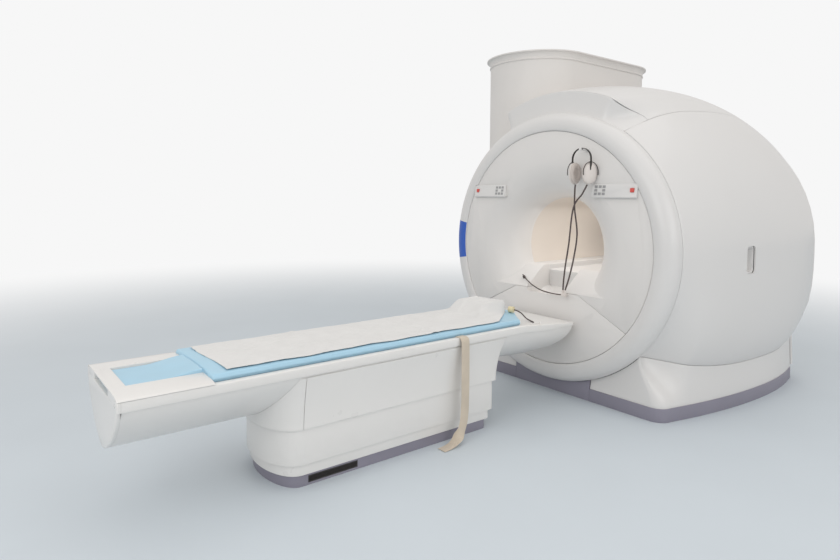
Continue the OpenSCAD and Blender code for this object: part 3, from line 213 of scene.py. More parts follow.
def shade(obj, angle=30):
    mesh = obj.data
    mesh.polygons.foreach_set("use_smooth", [True] * len(mesh.polygons))
    mesh.set_sharp_from_angle(angle=radians(angle))
    mesh.update()


def bake(obj, angle=30):
    graph = bpy.context.evaluated_depsgraph_get()
    mesh = bpy.data.meshes.new_from_object(obj.evaluated_get(graph))
    old = obj.data
    obj.modifiers.clear()
    obj.data = mesh
    mesh.name = obj.name
    if old.users == 0:
        bpy.data.meshes.remove(old)
    shade(obj, angle)
    return obj


def outward(obj):
    work = bmesh.new()
    work.from_mesh(obj.data)
    bmesh.ops.recalc_face_normals(work, faces=work.faces)
    if work.calc_volume(signed=True) < 0:
        bmesh.ops.reverse_faces(work, faces=work.faces)
    work.to_mesh(obj.data)
    work.free()
    return obj


def gridFaces(rows, cols, closedRows=False, closedCols=False):
    lastRow = rows if closedRows else rows - 1
    lastCol = cols if closedCols else cols - 1
    return [(i * cols + j, i * cols + (j + 1) % cols, ((i + 1) % rows) * cols + (j + 1) % cols,
             ((i + 1) % rows) * cols + j) for i in range(lastRow) for j in range(lastCol)]


def bevel(obj, width, segments=3, angle=40):
    mod = obj.modifiers.new("edge", "BEVEL")
    mod.width = width
    mod.segments = segments
    mod.limit_method = "ANGLE"
    mod.angle_limit = radians(angle)
    mod.harden_normals = False
    return bake(obj)


# A wall of even thickness behind a grid of outer points; inside is a point on its inner side
def shell(name, grid, thick, mat, inside, edge=0.0015):
    grid = np.asarray(grid, float)
    rows, cols = grid.shape[:2]
    faces = gridFaces(rows, cols)
    obj = newObject(name, grid.reshape(-1, 3), faces, mat)
    mid = obj.data.polygons[len(faces) // 2 + cols // 2]
    if mid.normal.dot(mid.center - Vector(inside)) < 0:
        obj.data.flip_normals()
    wall = obj.modifiers.new("wall", "SOLIDIFY")
    wall.thickness = thick
    wall.offset = -1
    wall.use_even_offset = True
    bake(obj)
    return bevel(obj, edge, 2, 50)


# A closed form through rings of equal length, capped at both ends
def skin(name, rings, mat, smooth=30):
    rings = np.asarray(rings, float)
    rows, cols = rings.shape[:2]
    faces = gridFaces(rows, cols, closedCols=True)
    faces.append(tuple(range(cols - 1, -1, -1)))
    faces.append(tuple((rows - 1) * cols + j for j in range(cols)))
    return outward(newObject(name, rings.reshape(-1, 3), faces, mat, smooth))


# A closed outline of (radius, x) turned about the bore's axis; angle 0 points down and 90 to +Y
def revolve(name, profile, mat, steps, start=0.0, turn=360.0):
    full = turn >= 360
    count = steps if full else steps + 1
    angles = [radians(start + turn * i / steps) for i in range(count)]
    rings = [[(x, r * sin(a), axisH - r * cos(a)) for r, x in profile] for a in angles]
    rings = np.asarray(rings, float)
    faces = gridFaces(count, len(profile), closedRows=full, closedCols=True)
    if not full:
        faces.append(tuple(range(len(profile) - 1, -1, -1)))
        faces.append(tuple((count - 1) * len(profile) + j for j in range(len(profile))))
    return outward(newObject(name, rings.reshape(-1, 3), faces, mat))


# An outline in the two other axes, in the order X, Y, Z, drawn out along one axis
def prism(name, outline, axis, low, high, mat="cover"):
    def point(a, b, c):
        return {"X": (c, a, b), "Y": (a, c, b), "Z": (a, b, c)}[axis]
    verts = [point(a, b, low) for a, b in outline] + [point(a, b, high) for a, b in outline]
    n = len(outline)
    faces = [(i, (i + 1) % n, n + (i + 1) % n, n + i) for i in range(n)]
    faces += [tuple(range(n - 1, -1, -1)), tuple(range(n, 2 * n))]
    return outward(newObject(name, verts, faces, mat))


def cut(obj, cutter):
    mod = obj.modifiers.new("cut", "BOOLEAN")
    mod.operation = "DIFFERENCE"
    mod.solver = "EXACT"
    mod.object = cutter
    bake(obj)
    bpy.data.objects.remove(cutter)
    return obj


# Points of an arc from angle start on through turn, both in degrees
def arc(cx, cy, r, start, turn, steps):
    angles = [radians(start + turn * k / steps) for k in range(steps + 1)]
    return [(cx + r * cos(a), cy + r * sin(a)) for a in angles]


def roundedRect(x0, y0, x1, y1, r, steps=6):
    corners = ((x1 - r, y0 + r, -90), (x1 - r, y1 - r, 0), (x0 + r, y1 - r, 90), (x0 + r, y0 + r, 180))
    return [p for cx, cy, start in corners for p in arc(cx, cy, r, start, 90, steps)]


# near_side_cover becomes nearSideCover
def camel(node):
    first, *rest = node.split("_")
    return first + "".join(word.capitalize() for word in rest)


def finishPiece(obj, body, replaced=None):
    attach(obj, body)
    if replaced:
        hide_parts(replaced)


# A copy of a CAD solid with its edges softened
def fromNode(node, mat, width, segments=2, angle=40, name=None):
    mesh = nodes[node].data.copy()
    obj = bpy.data.objects.new(name or camel(node), mesh)
    scene.collection.objects.link(obj)
    mesh.materials.clear()
    mesh.materials.append(mats[mat])
    work = bmesh.new()
    work.from_mesh(mesh)
    bmesh.ops.remove_doubles(work, verts=work.verts, dist=weld["near"])
    bmesh.ops.dissolve_limit(work, angle_limit=weld["flat"], verts=work.verts, edges=work.edges)
    work.to_mesh(mesh)
    work.free()
    for attribute in [a.name for a in mesh.attributes if a.name.startswith("custom_normal")]:
        mesh.attributes.remove(mesh.attributes[attribute])
    shade(obj)
    if width > 0:
        bevel(obj, width, segments, angle)
    return obj


def bodyOf(node):
    return nodes[node]["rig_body"]


def paint(node, mat):
    mesh = nodes[node].data
    mesh.materials.clear()
    mesh.materials.append(mats[mat])
    shade(nodes[node])


# Catmull-Rom curve through the points
def spline(points, steps):
    pts = [np.array(p, float) for p in points]
    n = len(pts)
    out = []
    for i in range(n - 1):
        p0, p1, p2, p3 = pts[max(0, i - 1)], pts[i], pts[i + 1], pts[min(n - 1, i + 2)]
        for k in range(steps):
            t = k / steps
            out.append(0.5 * (2 * p1 + (p2 - p0) * t + (2 * p0 - 5 * p1 + 4 * p2 - p3) * t * t
                              + (3 * p1 - p0 - 3 * p2 + p3) * t ** 3))
    out.append(pts[-1])
    return out


def tube(name, points, diameter, mat, sides, up):
    rings = []
    n = len(points)
    side = np.cross(np.array(up, float), points[1] - points[0])
    side /= np.linalg.norm(side)
    for i, p in enumerate(points):
        t = points[min(n - 1, i + 1)] - points[max(0, i - 1)]
        t = t / np.linalg.norm(t)
        side = side - t * side.dot(t)
        side /= np.linalg.norm(side)
        other = np.cross(t, side)
        r = diameter / 2
        rings.append([p + r * (cos(a) * side + sin(a) * other)
                      for a in [2 * pi * k / sides for k in range(sides)]])
    return skin(name, rings, mat, 50)


# A flat strip with rounded edges through stations of (centre, width direction, normal)
def band(name, stations, width, thick, mat):
    cross = [(-0.47, -0.5), (0, -0.5), (0.47, -0.5), (0.5, -0.35), (0.5, 0.35), (0.47, 0.5), (0, 0.5), (-0.47, 0.5),
             (-0.5, 0.35), (-0.5, -0.35)]
    rings = []
    for centre, across, normal in stations:
        rings.append([centre + across * (u * width) + normal * (v * thick) for u, v in cross])
    return skin(name, rings, mat, 50)


print("helpers ready")

# Magnet body: widths and heights along the bore from its axis, as in the CAD source

size = {"ringR": 0.805, "ringBack": 0.740, "bodyW": 0.940, "bodyMid": 0.350, "rearW": 0.880, "rearX": 0.762,
        "top": 1.035, "topMid": 0.100, "hood": 0.935, "rearTop": 0.900, "gap": 0.002, "crest": 0.030,
        "skirtTop": 0.243, "skirtFront": 0.085, "skirtRear": 0.062, "wall": 0.008, "faceX": 0.820, "seamR": 0.695,
        "seam": radians(34.5), "roll": radians(11), "sweep": 0.160, "lip": 0.005, "round": 0.060,
        "rise": 0.010, "ease": 0.300, "shoulder": 0.190, "square": 1.4}
# Powers of the covers' curves along the bore
curve = {"soft": 2.2, "plain": 2}
base = {"front": 0.752, "rear": 0.760, "w": 0.848, "mid": 0.230, "frontTaper": 0.138, "rearTaper": 0.070,
        "corner": 0.080, "h": 0.074, "lean": 0.012, "skirtY": 0.284, "frontL": 0.358, "tuck": 0.004, "slack": 0.006,
        "ringShare": 0.88, "ringZ": 0.318}


def clamp01(v):
    return min(1.0, max(0.0, v))


def smoothStep(v):
    c = clamp01(v)
    return c * c * (3 - 2 * c)


def bodyWidth(x):
    if x < size["bodyMid"]:
        t = (size["bodyMid"] - x) / (size["bodyMid"] + size["ringBack"])
        return size["bodyW"] - (size["bodyW"] - size["ringR"]) * t ** curve["soft"]
    t = (x - size["bodyMid"]) / (size["rearX"] - size["bodyMid"])
    return size["bodyW"] - (size["bodyW"] - size["rearW"]) * t ** curve["plain"]


def topHeight(x):
    if x < size["topMid"]:
        t = (size["topMid"] - x) / (size["topMid"] + size["ringBack"])
        return size["top"] - (size["top"] - size["hood"]) * t ** curve["plain"]
    t = (x - size["topMid"]) / (size["rearX"] - size["topMid"])
    return size["top"] - (size["top"] - size["rearTop"]) * t ** curve["soft"]


def sideHeight(x):
    t = clamp01((-size["ease"] - x) / (size["ringBack"] - size["ease"]))
    return topHeight(x) - (size["hood"] - size["ringR"]) * t ** curve["plain"]


def skirtZ(x):
    ahead = max(0.0, -x) / size["ringBack"]
    behind = max(0.0, x - size["ease"]) / (size["rearX"] - size["ease"])
    return (size["skirtTop"] + size["skirtFront"] * ahead ** curve["soft"]
            + size["skirtRear"] * behind ** curve["plain"])


def baseSide(x):
    if x < base["mid"]:
        return base["w"] - base["frontTaper"] * ((x - base["mid"]) / (base["mid"] + base["front"])) ** 2
    return base["w"] - base["rearTaper"] * ((x - base["mid"]) / (base["rear"] - base["mid"])) ** 2


def circleY(z):
    return sqrt(max(1e-6, size["ringR"] ** 2 - (axisH - z) ** 2))


def shoulder(x):
    return smoothStep((x + size["ringBack"]) / size["shoulder"])


def seamHalf(x):
    s = shoulder(x)
    return (1 - s) * circleY(skirtZ(x)) + s * (baseSide(x) - base["lean"])


# Radius of the side's section at angle a above the horizontal: an ellipse above it, a squarer one below
def sideR(x, a):
    w = bodyWidth(x)
    if a >= 0:
        return 1 / sqrt((cos(a) / w) ** 2 + (sin(a) / sideHeight(x)) ** 2)
    power = 2 + size["square"] * shoulder(x)
    depth = (axisH - skirtZ(x)) / (1 - (seamHalf(x) / w) ** power) ** (1 / power)
    return ((cos(a) / w) ** power + (-sin(a) / depth) ** power) ** (-1 / power)


def sideCover(name, side):
    rows, cols = 72, 64
    grid = []
    for i in range(rows):
        x = -(size["ringBack"] - size["gap"]) + (size["rearX"] + size["ringBack"] - size["gap"]) * i / (rows - 1)
        a0 = pi / 2 - size["seam"] - size["gap"] / size["bodyW"]
        a1 = -atan2(axisH - skirtZ(x) - size["gap"], seamHalf(x))
        row = []
        for j in range(cols):
            a = a0 + (a1 - a0) * j / (cols - 1)
            r = sideR(x, a)
            row.append((x, side * r * cos(a), axisH + r * sin(a)))
        grid.append(row)
    return shell(name, grid, size["wall"], "cover", (0, 0, axisH), edge=0.0018)


# 0 on the top cover's crown and 1 at its seam, where it has rolled into the side covers
def roll(a):
    return smoothStep((abs(a) - size["seam"] + size["roll"]) / size["roll"])


def topR(x, a):
    t = 1 / sqrt((sin(a) / size["bodyW"]) ** 2 + (cos(a) / topHeight(x)) ** 2)
    return t + (sideR(x, pi / 2 - abs(a)) - t) * roll(a)


def topFront(a):
    start = size["seam"] - size["roll"]
    swept = smoothStep((abs(a) - start) / (size["roll"] - radians(1)))
    return -size["ringBack"] - size["lip"] + size["sweep"] * swept


def topCover():
    rows, cols = 84, 72
    grid = []
    for i in range(rows):
        row = []
        for j in range(cols):
            a = size["seam"] * (2 * j / (cols - 1) - 1)
            x0 = topFront(a)
            x = x0 + (size["rearX"] - x0) * i / (rows - 1)
            r = topR(x, a)
            row.append((x, r * sin(a), axisH + r * cos(a)))
        grid.append(row)
    return shell("topCover", grid, size["wall"], "cover", (0, 0, axisH), edge=0.003)


cowlSize = {"depth": 0.026, "step": 0.004, "fit": 0.0003, "t": 0.006, "across": 40, "along": 18}


def cowlPoint(a, b):
    depth, step, fit = cowlSize["depth"], cowlSize["step"], cowlSize["fit"]
    k = roll(a)
    x1 = topFront(a) - size["gap"] - size["wall"] * (1 - k)
    r0 = size["ringR"] + 2 * fit
    r1 = topR(max(x1, -size["ringBack"]), a) - step * (1 - k)
    x0 = -size["ringBack"] - depth * (1 - k) + fit * k
    cr, cx, line = 1 - cos(b), sin(b), b * 2 / pi
    r = r0 + (r1 - r0) * (cr + (line - cr) * k)
    return (x0 + (x1 - x0) * (cx + (line - cx) * k), r * sin(a), axisH + r * cos(a))


def cowl():
    across, along = cowlSize["across"], cowlSize["along"]
    grid = [[cowlPoint(size["seam"] * j / across, pi / 2 * k / along) for k in range(along + 1)]
            for j in range(-across, across + 1)]
    return shell("cowlBand", grid, cowlSize["t"], "cover", (0, 0, axisH))


# The service column, and the room for what runs down behind it
column = {"x0": -0.272, "x1": 0.424, "y": 0.545, "r": 0.338, "footZ": 1.028, "ductX": 0.169, "ductHalf": 0.0845,
          "behind": 0.9, "above": 2.4, "steps": 48}
grip = {"x": -0.212, "z": 0.848, "l": 0.150, "w": 0.086, "r": 0.020, "fit": 0.0005, "reach": (0.5, 1.1)}


def columnHole(obj, duct=True):
    r, steps = column["r"] + size["gap"], column["steps"]
    outline = arc(column["x1"], column["y"], r, -90, 180, steps) + arc(column["x0"], column["y"], r, 90, 180, steps)
    cut(obj, prism("cutter", outline, "Z", column["footZ"], column["above"]))
    if duct:
        x0, x1 = column["x1"] + column["ductX"], column["behind"]
        y0, y1 = column["y"] - column["ductHalf"], column["y"] + column["ductHalf"]
        cut(obj, prism("cutter", [(x0, y0), (x1, y0), (x1, y1), (x0, y1)], "Z", axisH, column["above"]))


def gripHole(obj, side):
    low, high = sorted(side * y for y in grip["reach"])
    outline = roundedRect(grip["x"] - grip["w"] / 2 - grip["fit"], grip["z"] - grip["l"] / 2 - grip["fit"],
                          grip["x"] + grip["w"] / 2 + grip["fit"], grip["z"] + grip["l"] / 2 + grip["fit"], grip["r"])
    cut(obj, prism("cutter", outline, "Y", low, high))


near = sideCover("nearSideCover", -1)
gripHole(near, -1)
finishPiece(near, "magnet", "near_side_cover")
far = sideCover("farSideCover", 1)
gripHole(far, 1)
columnHole(far)
finishPiece(far, "magnet", "far_side_cover")
top = topCover()
columnHole(top)
finishPiece(top, "magnet", "top_cover")
crest = cowl()
columnHole(crest, duct=False)
finishPiece(crest, "magnet", "cowl_band")
print("body covers made")


# A point of the skirt at share s of the way from the plinth's outline up to the covers' lower edge
def skirtPoint(p, s, side):
    x = min(max(p[0], -size["ringBack"]), size["rearX"] - base["tuck"])
    if p[0] < -size["ringBack"]:
        y = min(base["skirtY"] + (p[1] - base["skirtY"]) * base["ringShare"], circleY(base["ringZ"]))
        z = axisH - sqrt((size["ringR"] + size["gap"]) ** 2 - y * y)
    else:
        y = seamHalf(x)
        if p[0] > base["rear"] - base["corner"]:
            y = min(y, p[1] + base["slack"])
        z = skirtZ(x)
    b = smoothStep(s)
    return (p[0] + (x - p[0]) * b, side * (p[1] + (y - p[1]) * b), base["h"] + (z - base["h"]) * s)


def baseOutline(inset, cornerSteps=14, sideSteps=60, frontSteps=20):
    pts = [(-base["front"] + inset, base["skirtY"] + base["frontL"] * k / frontSteps) for k in range(frontSteps)]
    x0, x1 = -base["front"] + base["corner"], base["rear"] - base["corner"]
    r = base["corner"] - inset
    pts += arc(x0, baseSide(x0) - base["corner"], r, 180, -90, cornerSteps)
    for k in range(1, sideSteps):
        x = x0 + (x1 - x0) * k / sideSteps
        pts.append((x, baseSide(x) - inset))
    return pts + arc(x1, baseSide(x1) - base["corner"], r, 90, -90, cornerSteps)


def skirt(name, side):
    rows = 14
    grid = [[skirtPoint(p, k / rows, side) for k in range(rows + 1)] for p in baseOutline(base["tuck"])]
    return shell(name, grid, size["wall"], "cover", (0, 0, 0.2))


finishPiece(skirt("nearSkirt", -1), "magnet", "near_skirt")
finishPiece(skirt("farSkirt", 1), "magnet", "far_skirt")
finishPiece(fromNode("magnet_plinth", "plinth", 0.003, 3), "magnet", "magnet_plinth")

# Ring, face and mouth

panel = {"y": (0.325, 0.600), "z": (1.177, 1.258), "r": 0.010, "fit": 0.0006, "reach": (-0.9, -0.7)}


def panelHole(obj, side):
    low, high = sorted(side * y for y in panel["y"])
    fit = panel["fit"]
    cut(obj, prism("cutter", roundedRect(low - fit, panel["z"][0] - fit, high + fit, panel["z"][1] + fit, panel["r"]),
                   "X", *panel["reach"]))


# The ring's rounded front as (radius, x), from the seam with the face to the widest part
def ringProfile(inset):
    out = []
    for k in range(13):
        a = radians(60 * k / 12)
        out.append((size["seamR"] + inset + (size["crest"] - inset) * (1 - cos(a)),
                    -size["faceX"] - (size["rise"] - inset / 2) * sin(a)))
    wide = size["ringR"] - size["seamR"] - size["crest"] - inset
    for k in range(25):
        a = radians(90 * k / 24)
        out.append((size["seamR"] + size["crest"] + wide * sin(a),
                    -size["faceX"] + size["round"] - (size["round"] + size["rise"] - inset) * cos(a)))
    return out


outer = ringProfile(0)
inner = ringProfile(size["wall"])
ring = revolve("frontRing", [(size["seamR"], -size["faceX"] + size["wall"])] + outer
               + [(size["ringR"], -size["ringBack"]), (size["ringR"] - size["wall"], -size["ringBack"])]
               + inner[::-1] + [(size["seamR"] + size["wall"], -size["faceX"] + size["wall"])], "cover", 256)
for side in (-1, 1):
    panelHole(ring, side)
finishPiece(ring, "magnet", "front_ring")
for node, name in (("front_face_cover", "frontFace"), ("lower_front_cover", "lowerFront")):
    finishPiece(fromNode(node, "face", 0.0015, 2, 35, name), "magnet", node)
print("ring and face made")

# Panels, keys and stop buttons

for word in ("near", "far"):
    finishPiece(fromNode(word + "_panel", "trim", 0.0016, 3), "magnet", word + "_panel")
    button = fromNode(word + "_stop_button", "stop", 0.003, 4)
    finishPiece(button, word + "_stop_button", word + "_stop_button")
# Solids shown as they are, by material and slot
plainSolids = {
    ("key", "key"): ["key_pads"],
    ("cover", "cover"): ["rear_cover"],
    ("liner", "cover"): ["bore_liner"],
    ("vessel", "cryostat"): ["magnet_cryostat"],
    ("coil", "coil"): ["gradient_coil", "body_coil"],
    ("dark", "dark"): ["magnet_feet", "base_frame", "drive_unit"],
    ("steel", "steel"): ["cold_head", "quench_pipe", "lift_outer_tubes", "lift_middle_tubes", "lift_inner_tubes",
                         "drive_pulley", "idler_pulley"],
    ("rubber", "rubber"): ["drive_belt"],
}
for (mat, slot), names in plainSolids.items():
    for node in names:
        paint(node, mat)
# Solids whose edges are softened, with the width of the softened edge
for node, mat, slot, width in (
        ("bore_bridge", "trim", "trim", 0.003), ("service_column", "column", "trim", 0.0),
        ("column_collar", "column", "trim", 0.0), ("side_grips", "trim", "trim", 0.003),
        ("headset_peg", "cover", "cover", 0.0015), ("tube_joiner", "ear", "ear", 0.0015),
        ("lead_plug", "dark", "dark", 0.0012), ("table_plinth", "plinth", "plinth", 0.002),
        ("lower_cover", "table", "cover", 0.0015), ("mid_cover", "table", "cover", 0.0015),
        ("foot_cap", "table", "cover", 0.0015), ("tabletop", "table", "cover", 0.002),
        ("call_bulb", "cream", "cream", 0.002)):
    finishPiece(fromNode(node, mat, width, 3, 35), bodyOf(node), node)
print("softened solids made")

# Table: beam, upper pedestal cover, foot frame

table = {"rimZ": 0.508, "rimW": 0.260, "rimH": 0.038, "depth": 0.198, "tip": 0.862, "tipW": 0.245, "topW": 0.231,
         "railZ": 0.488, "gap": 0.001, "taper": 1.750, "power": 1.45, "nosePower": 1.8, "powerL": 0.6,
         "noseFlat": 0.100, "noseD": 0.170, "noseX": 0.950, "noseL": 0.088, "noseStart": 1.300, "drop": 0.036,
         "out": 0.010, "flat": 1.180, "corner": 0.022, "foldL": 0.3, "foldShare": 0.5, "swellX": 0.930,
         "swellPower": 1.6, "steps": 32}
table["foldZ"] = table["rimZ"] - table["rimH"]
# Small rounds of the rim, as distances in from its side and from its lower or upper edge
rimLow = [(0.003, 0.0003), (0.0008, 0.0015), (0, 0.004)]
rimHigh = [(0, 0.006), (0.0015, 0.002), (0.005, 0)]


def beamHalf(x):
    wide = table["rimW"] - table["out"]
    t = max(0.0, (x + table["flat"]) / (table["flat"] - table["tip"]))
    turn = clamp01((x + table["tip"] + table["corner"]) / table["corner"])
    return wide - (wide - table["tipW"]) * t * t - table["corner"] * (1 - sqrt(1 - turn * turn))


def beamTop(x):
    return table["rimZ"] - table["drop"] * clamp01((x + table["noseStart"]) / (table["noseStart"] - table["tip"]))


def beamFold(x):
    less = table["foldShare"] * smoothStep((x + table["flat"]) / table["foldL"])
    return min(table["foldZ"], beamTop(x) - table["rimH"] * (1 - less))


def beamDepth(x):
    swell = clamp01(-(x + table["swellX"]) / (table["taper"] - table["swellX"])) ** table["swellPower"]
    body = table["noseD"] + (table["depth"] - table["noseD"]) * swell
    e = clamp01((x + table["noseX"]) / (table["noseX"] - table["tip"]))
    return table["noseFlat"] + (body - table["noseFlat"]) * sqrt(1 - e * e)


# The beam's section at x: a superellipse below the fold, a rim above it and the channel for the tabletop
def beamSection(x, grow=0.0, channel=True):
    b, d, f, t = beamHalf(x), beamDepth(x) + grow, beamFold(x), beamTop(x)
    e = table["power"] + (table["nosePower"] - table["power"]) * smoothStep((x + table["taper"]) / table["powerL"])
    pts = []
    for j in range(-table["steps"], table["steps"] + 1):
        y = (b + grow) * sin(pi / 2 * j / table["steps"])
        q = min(1.0, (abs(y) / (b + grow)) ** e)
        pts.append((x, y, f - d * (1 - q) ** (1 / e)))
    o = b + table["out"] + grow
    rim = [(o - y, f + z) for y, z in rimLow] + [(o - y, t - z) for y, z in rimHigh]
    if channel:
        w = table["topW"] + table["gap"]
        low = min(table["railZ"], t - 0.0003)
        rim += [(w + 0.002, t), (w, t - 0.0002), (w, low)]
    return pts + [(x, y, z) for y, z in rim] + [(x, -y, z) for y, z in rim[::-1]]


def beamStations():
    even = [-3.242, -3.0, -2.6, -2.2, -1.96]
    tapered = [-table["taper"] + 0.02 * i for i in range(40)]
    return even + tapered + [-table["noseX"] + table["noseL"] * sin(pi / 2 * k / 24) for k in range(25)]


beam = skin("tableBeam", [beamSection(x) for x in beamStations()], "table", 24)
# The room inside the beam's foot end, as (y, z)
cavity = {"x": (-3.30, -1.755), "outline": [(-0.060, 0.296), (0.060, 0.296), (0.176, 0.450), (0.190, 0.489),
                                            (-0.190, 0.489), (-0.176, 0.450)]}
cut(beam, prism("cutter", cavity["outline"], "X", *cavity["x"]))
finishPiece(beam, "table_upper", "table_beam")

pedestal = {"w": 0.226, "nose": 2.698, "seam": 2.560, "rear": 1.450, "low": 0.243, "top": 0.462, "t": 0.005,
            "corner": 0.025, "gap": 0.002, "inset": 0.002, "topInset": 0.007, "flare": 1.7, "lean": 0.050,
            "leanPower": 2.5, "rows": 24, "fit": 0.0004}


# The pedestal's outline seen from above: a round nose towards the foot end and small corners at the rear
def pedestalPlan(w, rear, grow, z):
    pts = []
    for k in range(61):
        a = radians(90 + 3 * k)
        pts.append((-pedestal["seam"] + (pedestal["nose"] + w - pedestal["w"] - pedestal["seam"] + grow) * cos(a),
                    (w + grow) * sin(a), z))
    c = pedestal["corner"]
    corners = arc(-rear - c, -w + c, c + grow, 270, 90, 8) + arc(-rear - c, w - c, c + grow, 0, 90, 8)
    return pts + [(x, y, z) for x, y in corners]


def upperWall(name):
    p, rings = pedestal, []
    rows = p["rows"]
    for grow, order in ((0.0, range(rows + 1)), (-p["t"], range(rows, -1, -1))):
        for k in order:
            t = k / rows
            w = p["w"] - p["inset"] + (table["rimW"] - p["topInset"] - p["w"] + p["inset"]) * t ** p["flare"]
            rings.append(pedestalPlan(w, p["rear"] - p["lean"] * t ** p["leanPower"], grow,
                                      p["low"] + (p["top"] - p["low"]) * t))
    rings = np.asarray(rings, float)
    obj = outward(newObject(name, rings.reshape(-1, 3), gridFaces(*rings.shape[:2], True, True), "table", 30))
    return cut(obj, skin("cutter", [beamSection(x, p["fit"], False) for x in beamStations()], "table"))


# One wall, cut in two at the vertical seam
seamBox = [(-0.5, 0.1), (0.5, 0.1), (0.5, 0.6), (-0.5, 0.6)]
for name, node, low, high in (("upperCover", "upper_cover", -3.0, -pedestal["seam"]),
                              ("upperNose", "upper_nose", -pedestal["seam"] - pedestal["gap"], -1.0)):
    wall = cut(upperWall(name), prism("cutter", seamBox, "X", low, high))
    finishPiece(bevel(wall, 0.0012, 2, 50), "table_upper", node)
print("table beam and pedestal made")

barLid = {"x0": -3.244, "x1": -3.200, "half": 0.134, "z": (0.5187, 0.5222), "r": 0.003}
finishPiece(fromNode("foot_frame", "table", 0.0035, 4, 30), "tabletop", "foot_frame")
lid = prism("footBar", roundedRect(barLid["x0"], -barLid["half"], barLid["x1"], barLid["half"], barLid["r"]), "Z",
            *barLid["z"], "table")
finishPiece(bevel(lid, 0.0012), "tabletop")

# Vent grille: slats repeated along the plinth

grille = {"x0": -2.530, "x1": -2.290, "y": -0.202, "t": 0.005, "z0": 0.0103, "z1": 0.0397, "rim": 0.004, "slats": 40,
          "slatT": 0.0016, "slatShare": 0.8, "slatShort": 0.006, "turn": 32, "fit": 0.0005, "reach": (-0.3, -0.1)}


# Geometry Nodes: boxes of slatSize copied onto the points of a line and turned about Z
def slatRow(count, pitch, slatSize, start, turn, mat):
    group = bpy.data.node_groups.new("slatRow", "GeometryNodeTree")
    sockets = {}
    for name, way, kind in (("Geometry", "INPUT", "Geometry"), ("Geometry", "OUTPUT", "Geometry"),
                            ("Slats", "INPUT", "Int"), ("Pitch", "INPUT", "Float")):
        sockets[name] = group.interface.new_socket(name, in_out=way, socket_type="NodeSocket" + kind)
    into = makeNode(group, "NodeGroupInput").outputs
    offset = makeNode(group, "ShaderNodeCombineXYZ", X=into["Pitch"])
    line = makeNode(group, "GeometryNodeMeshLine", Count=into["Slats"], Start_Location=start,
                    Offset=offset.outputs["Vector"])
    cube = makeNode(group, "GeometryNodeMeshCube", Size=slatSize)
    copies = makeNode(group, "GeometryNodeInstanceOnPoints", Points=line.outputs["Mesh"],
                      Instance=cube.outputs["Mesh"], Rotation=(0, 0, radians(turn)))
    real = makeNode(group, "GeometryNodeRealizeInstances", Geometry=copies.outputs["Instances"])
    painted = makeNode(group, "GeometryNodeSetMaterial", Geometry=real.outputs["Geometry"], Material=mats[mat])
    makeNode(group, "NodeGroupOutput", Geometry=painted.outputs["Geometry"])
    obj = newObject("slats", [(0, 0, 0)], [], mat)
    mod = obj.modifiers.new("slats", "NODES")
    mod.node_group = group
    mod[sockets["Slats"].identifier] = count
    mod[sockets["Pitch"].identifier] = pitch
    return bake(obj)


def join(name, *objs):
    work = bmesh.new()
    mesh = bpy.data.meshes.new(name)
    for obj in objs:
        count = len(work.faces)
        work.from_mesh(obj.data)
        work.faces.ensure_lookup_table()
        for material in obj.data.materials:
            if material and material.name not in [m.name for m in mesh.materials]:
                mesh.materials.append(material)
        names = [m.name for m in mesh.materials]
        for face in work.faces[count:]:
            slot = obj.data.materials[face.material_index]
            face.material_index = names.index(slot.name) if slot else 0
        bpy.data.objects.remove(obj)
    work.to_mesh(mesh)
    work.free()
    whole = bpy.data.objects.new(name, mesh)
    scene.collection.objects.link(whole)
    shade(whole)
    return whole


def grilleOutline(insetX, insetZ):
    x0, x1, z0, z1 = grille["x0"] + insetX, grille["x1"] - insetX, grille["z0"] + insetZ, grille["z1"] - insetZ
    return [(x0, z0), (x1, z0), (x1, z1), (x0, z1)]


def grilleFrame():
    outline = grilleOutline(grille["fit"], 0)
    outer = prism("grilleFrame", outline, "Y", grille["y"], grille["y"] + grille["t"], "dark")
    return cut(outer, prism("cutter", grilleOutline(grille["rim"], grille["rim"]), "Y", *grille["reach"]))


pitch = (grille["x1"] - grille["x0"] - 2 * grille["rim"]) / grille["slats"]
slatSize = (grille["slatT"], grille["t"] * grille["slatShare"], grille["z1"] - grille["z0"] - grille["slatShort"])
slatStart = (grille["x0"] + grille["rim"] + pitch / 2, grille["y"] + grille["t"] / 2, (grille["z0"] + grille["z1"]) / 2)
slats = slatRow(grille["slats"], pitch, slatSize, slatStart, grille["turn"], "dark")
finishPiece(join("ventGrille", grilleFrame(), slats), "magnet", "vent_grille")
print("grille made")

# Headset: band with its yokes, and two oval cups with soft rims

headset = {"x": -0.872, "y": -0.285, "cupZ": 1.315, "bandR": 0.061, "bandZ": 1.3933, "half": 0.045, "cupY": 0.0457,
           "cupA": 0.042, "cupB": 0.060, "swing": {-1: -26, 1: 0}, "legEnd": 0.018, "bandW": 0.013, "bandT": 0.0036,
           "yokeD": 0.0046, "yokeIn": 0.001, "yokeUp": 0.004, "yokeShort": 0.002, "square": 0.88, "sides": 64,
           "padFrom": 8}


# A point of one ear cup, turned with it about the upright line through the band's leg
def swung(p, side):
    h = headset
    a = radians(h["swing"][side])
    x, y = p[0] - h["x"], p[1] - h["y"] - side * h["bandR"]
    return np.array([h["x"] + x * cos(a) - y * sin(a),
                     h["y"] + side * h["bandR"] + x * sin(a) + y * cos(a), p[2]])


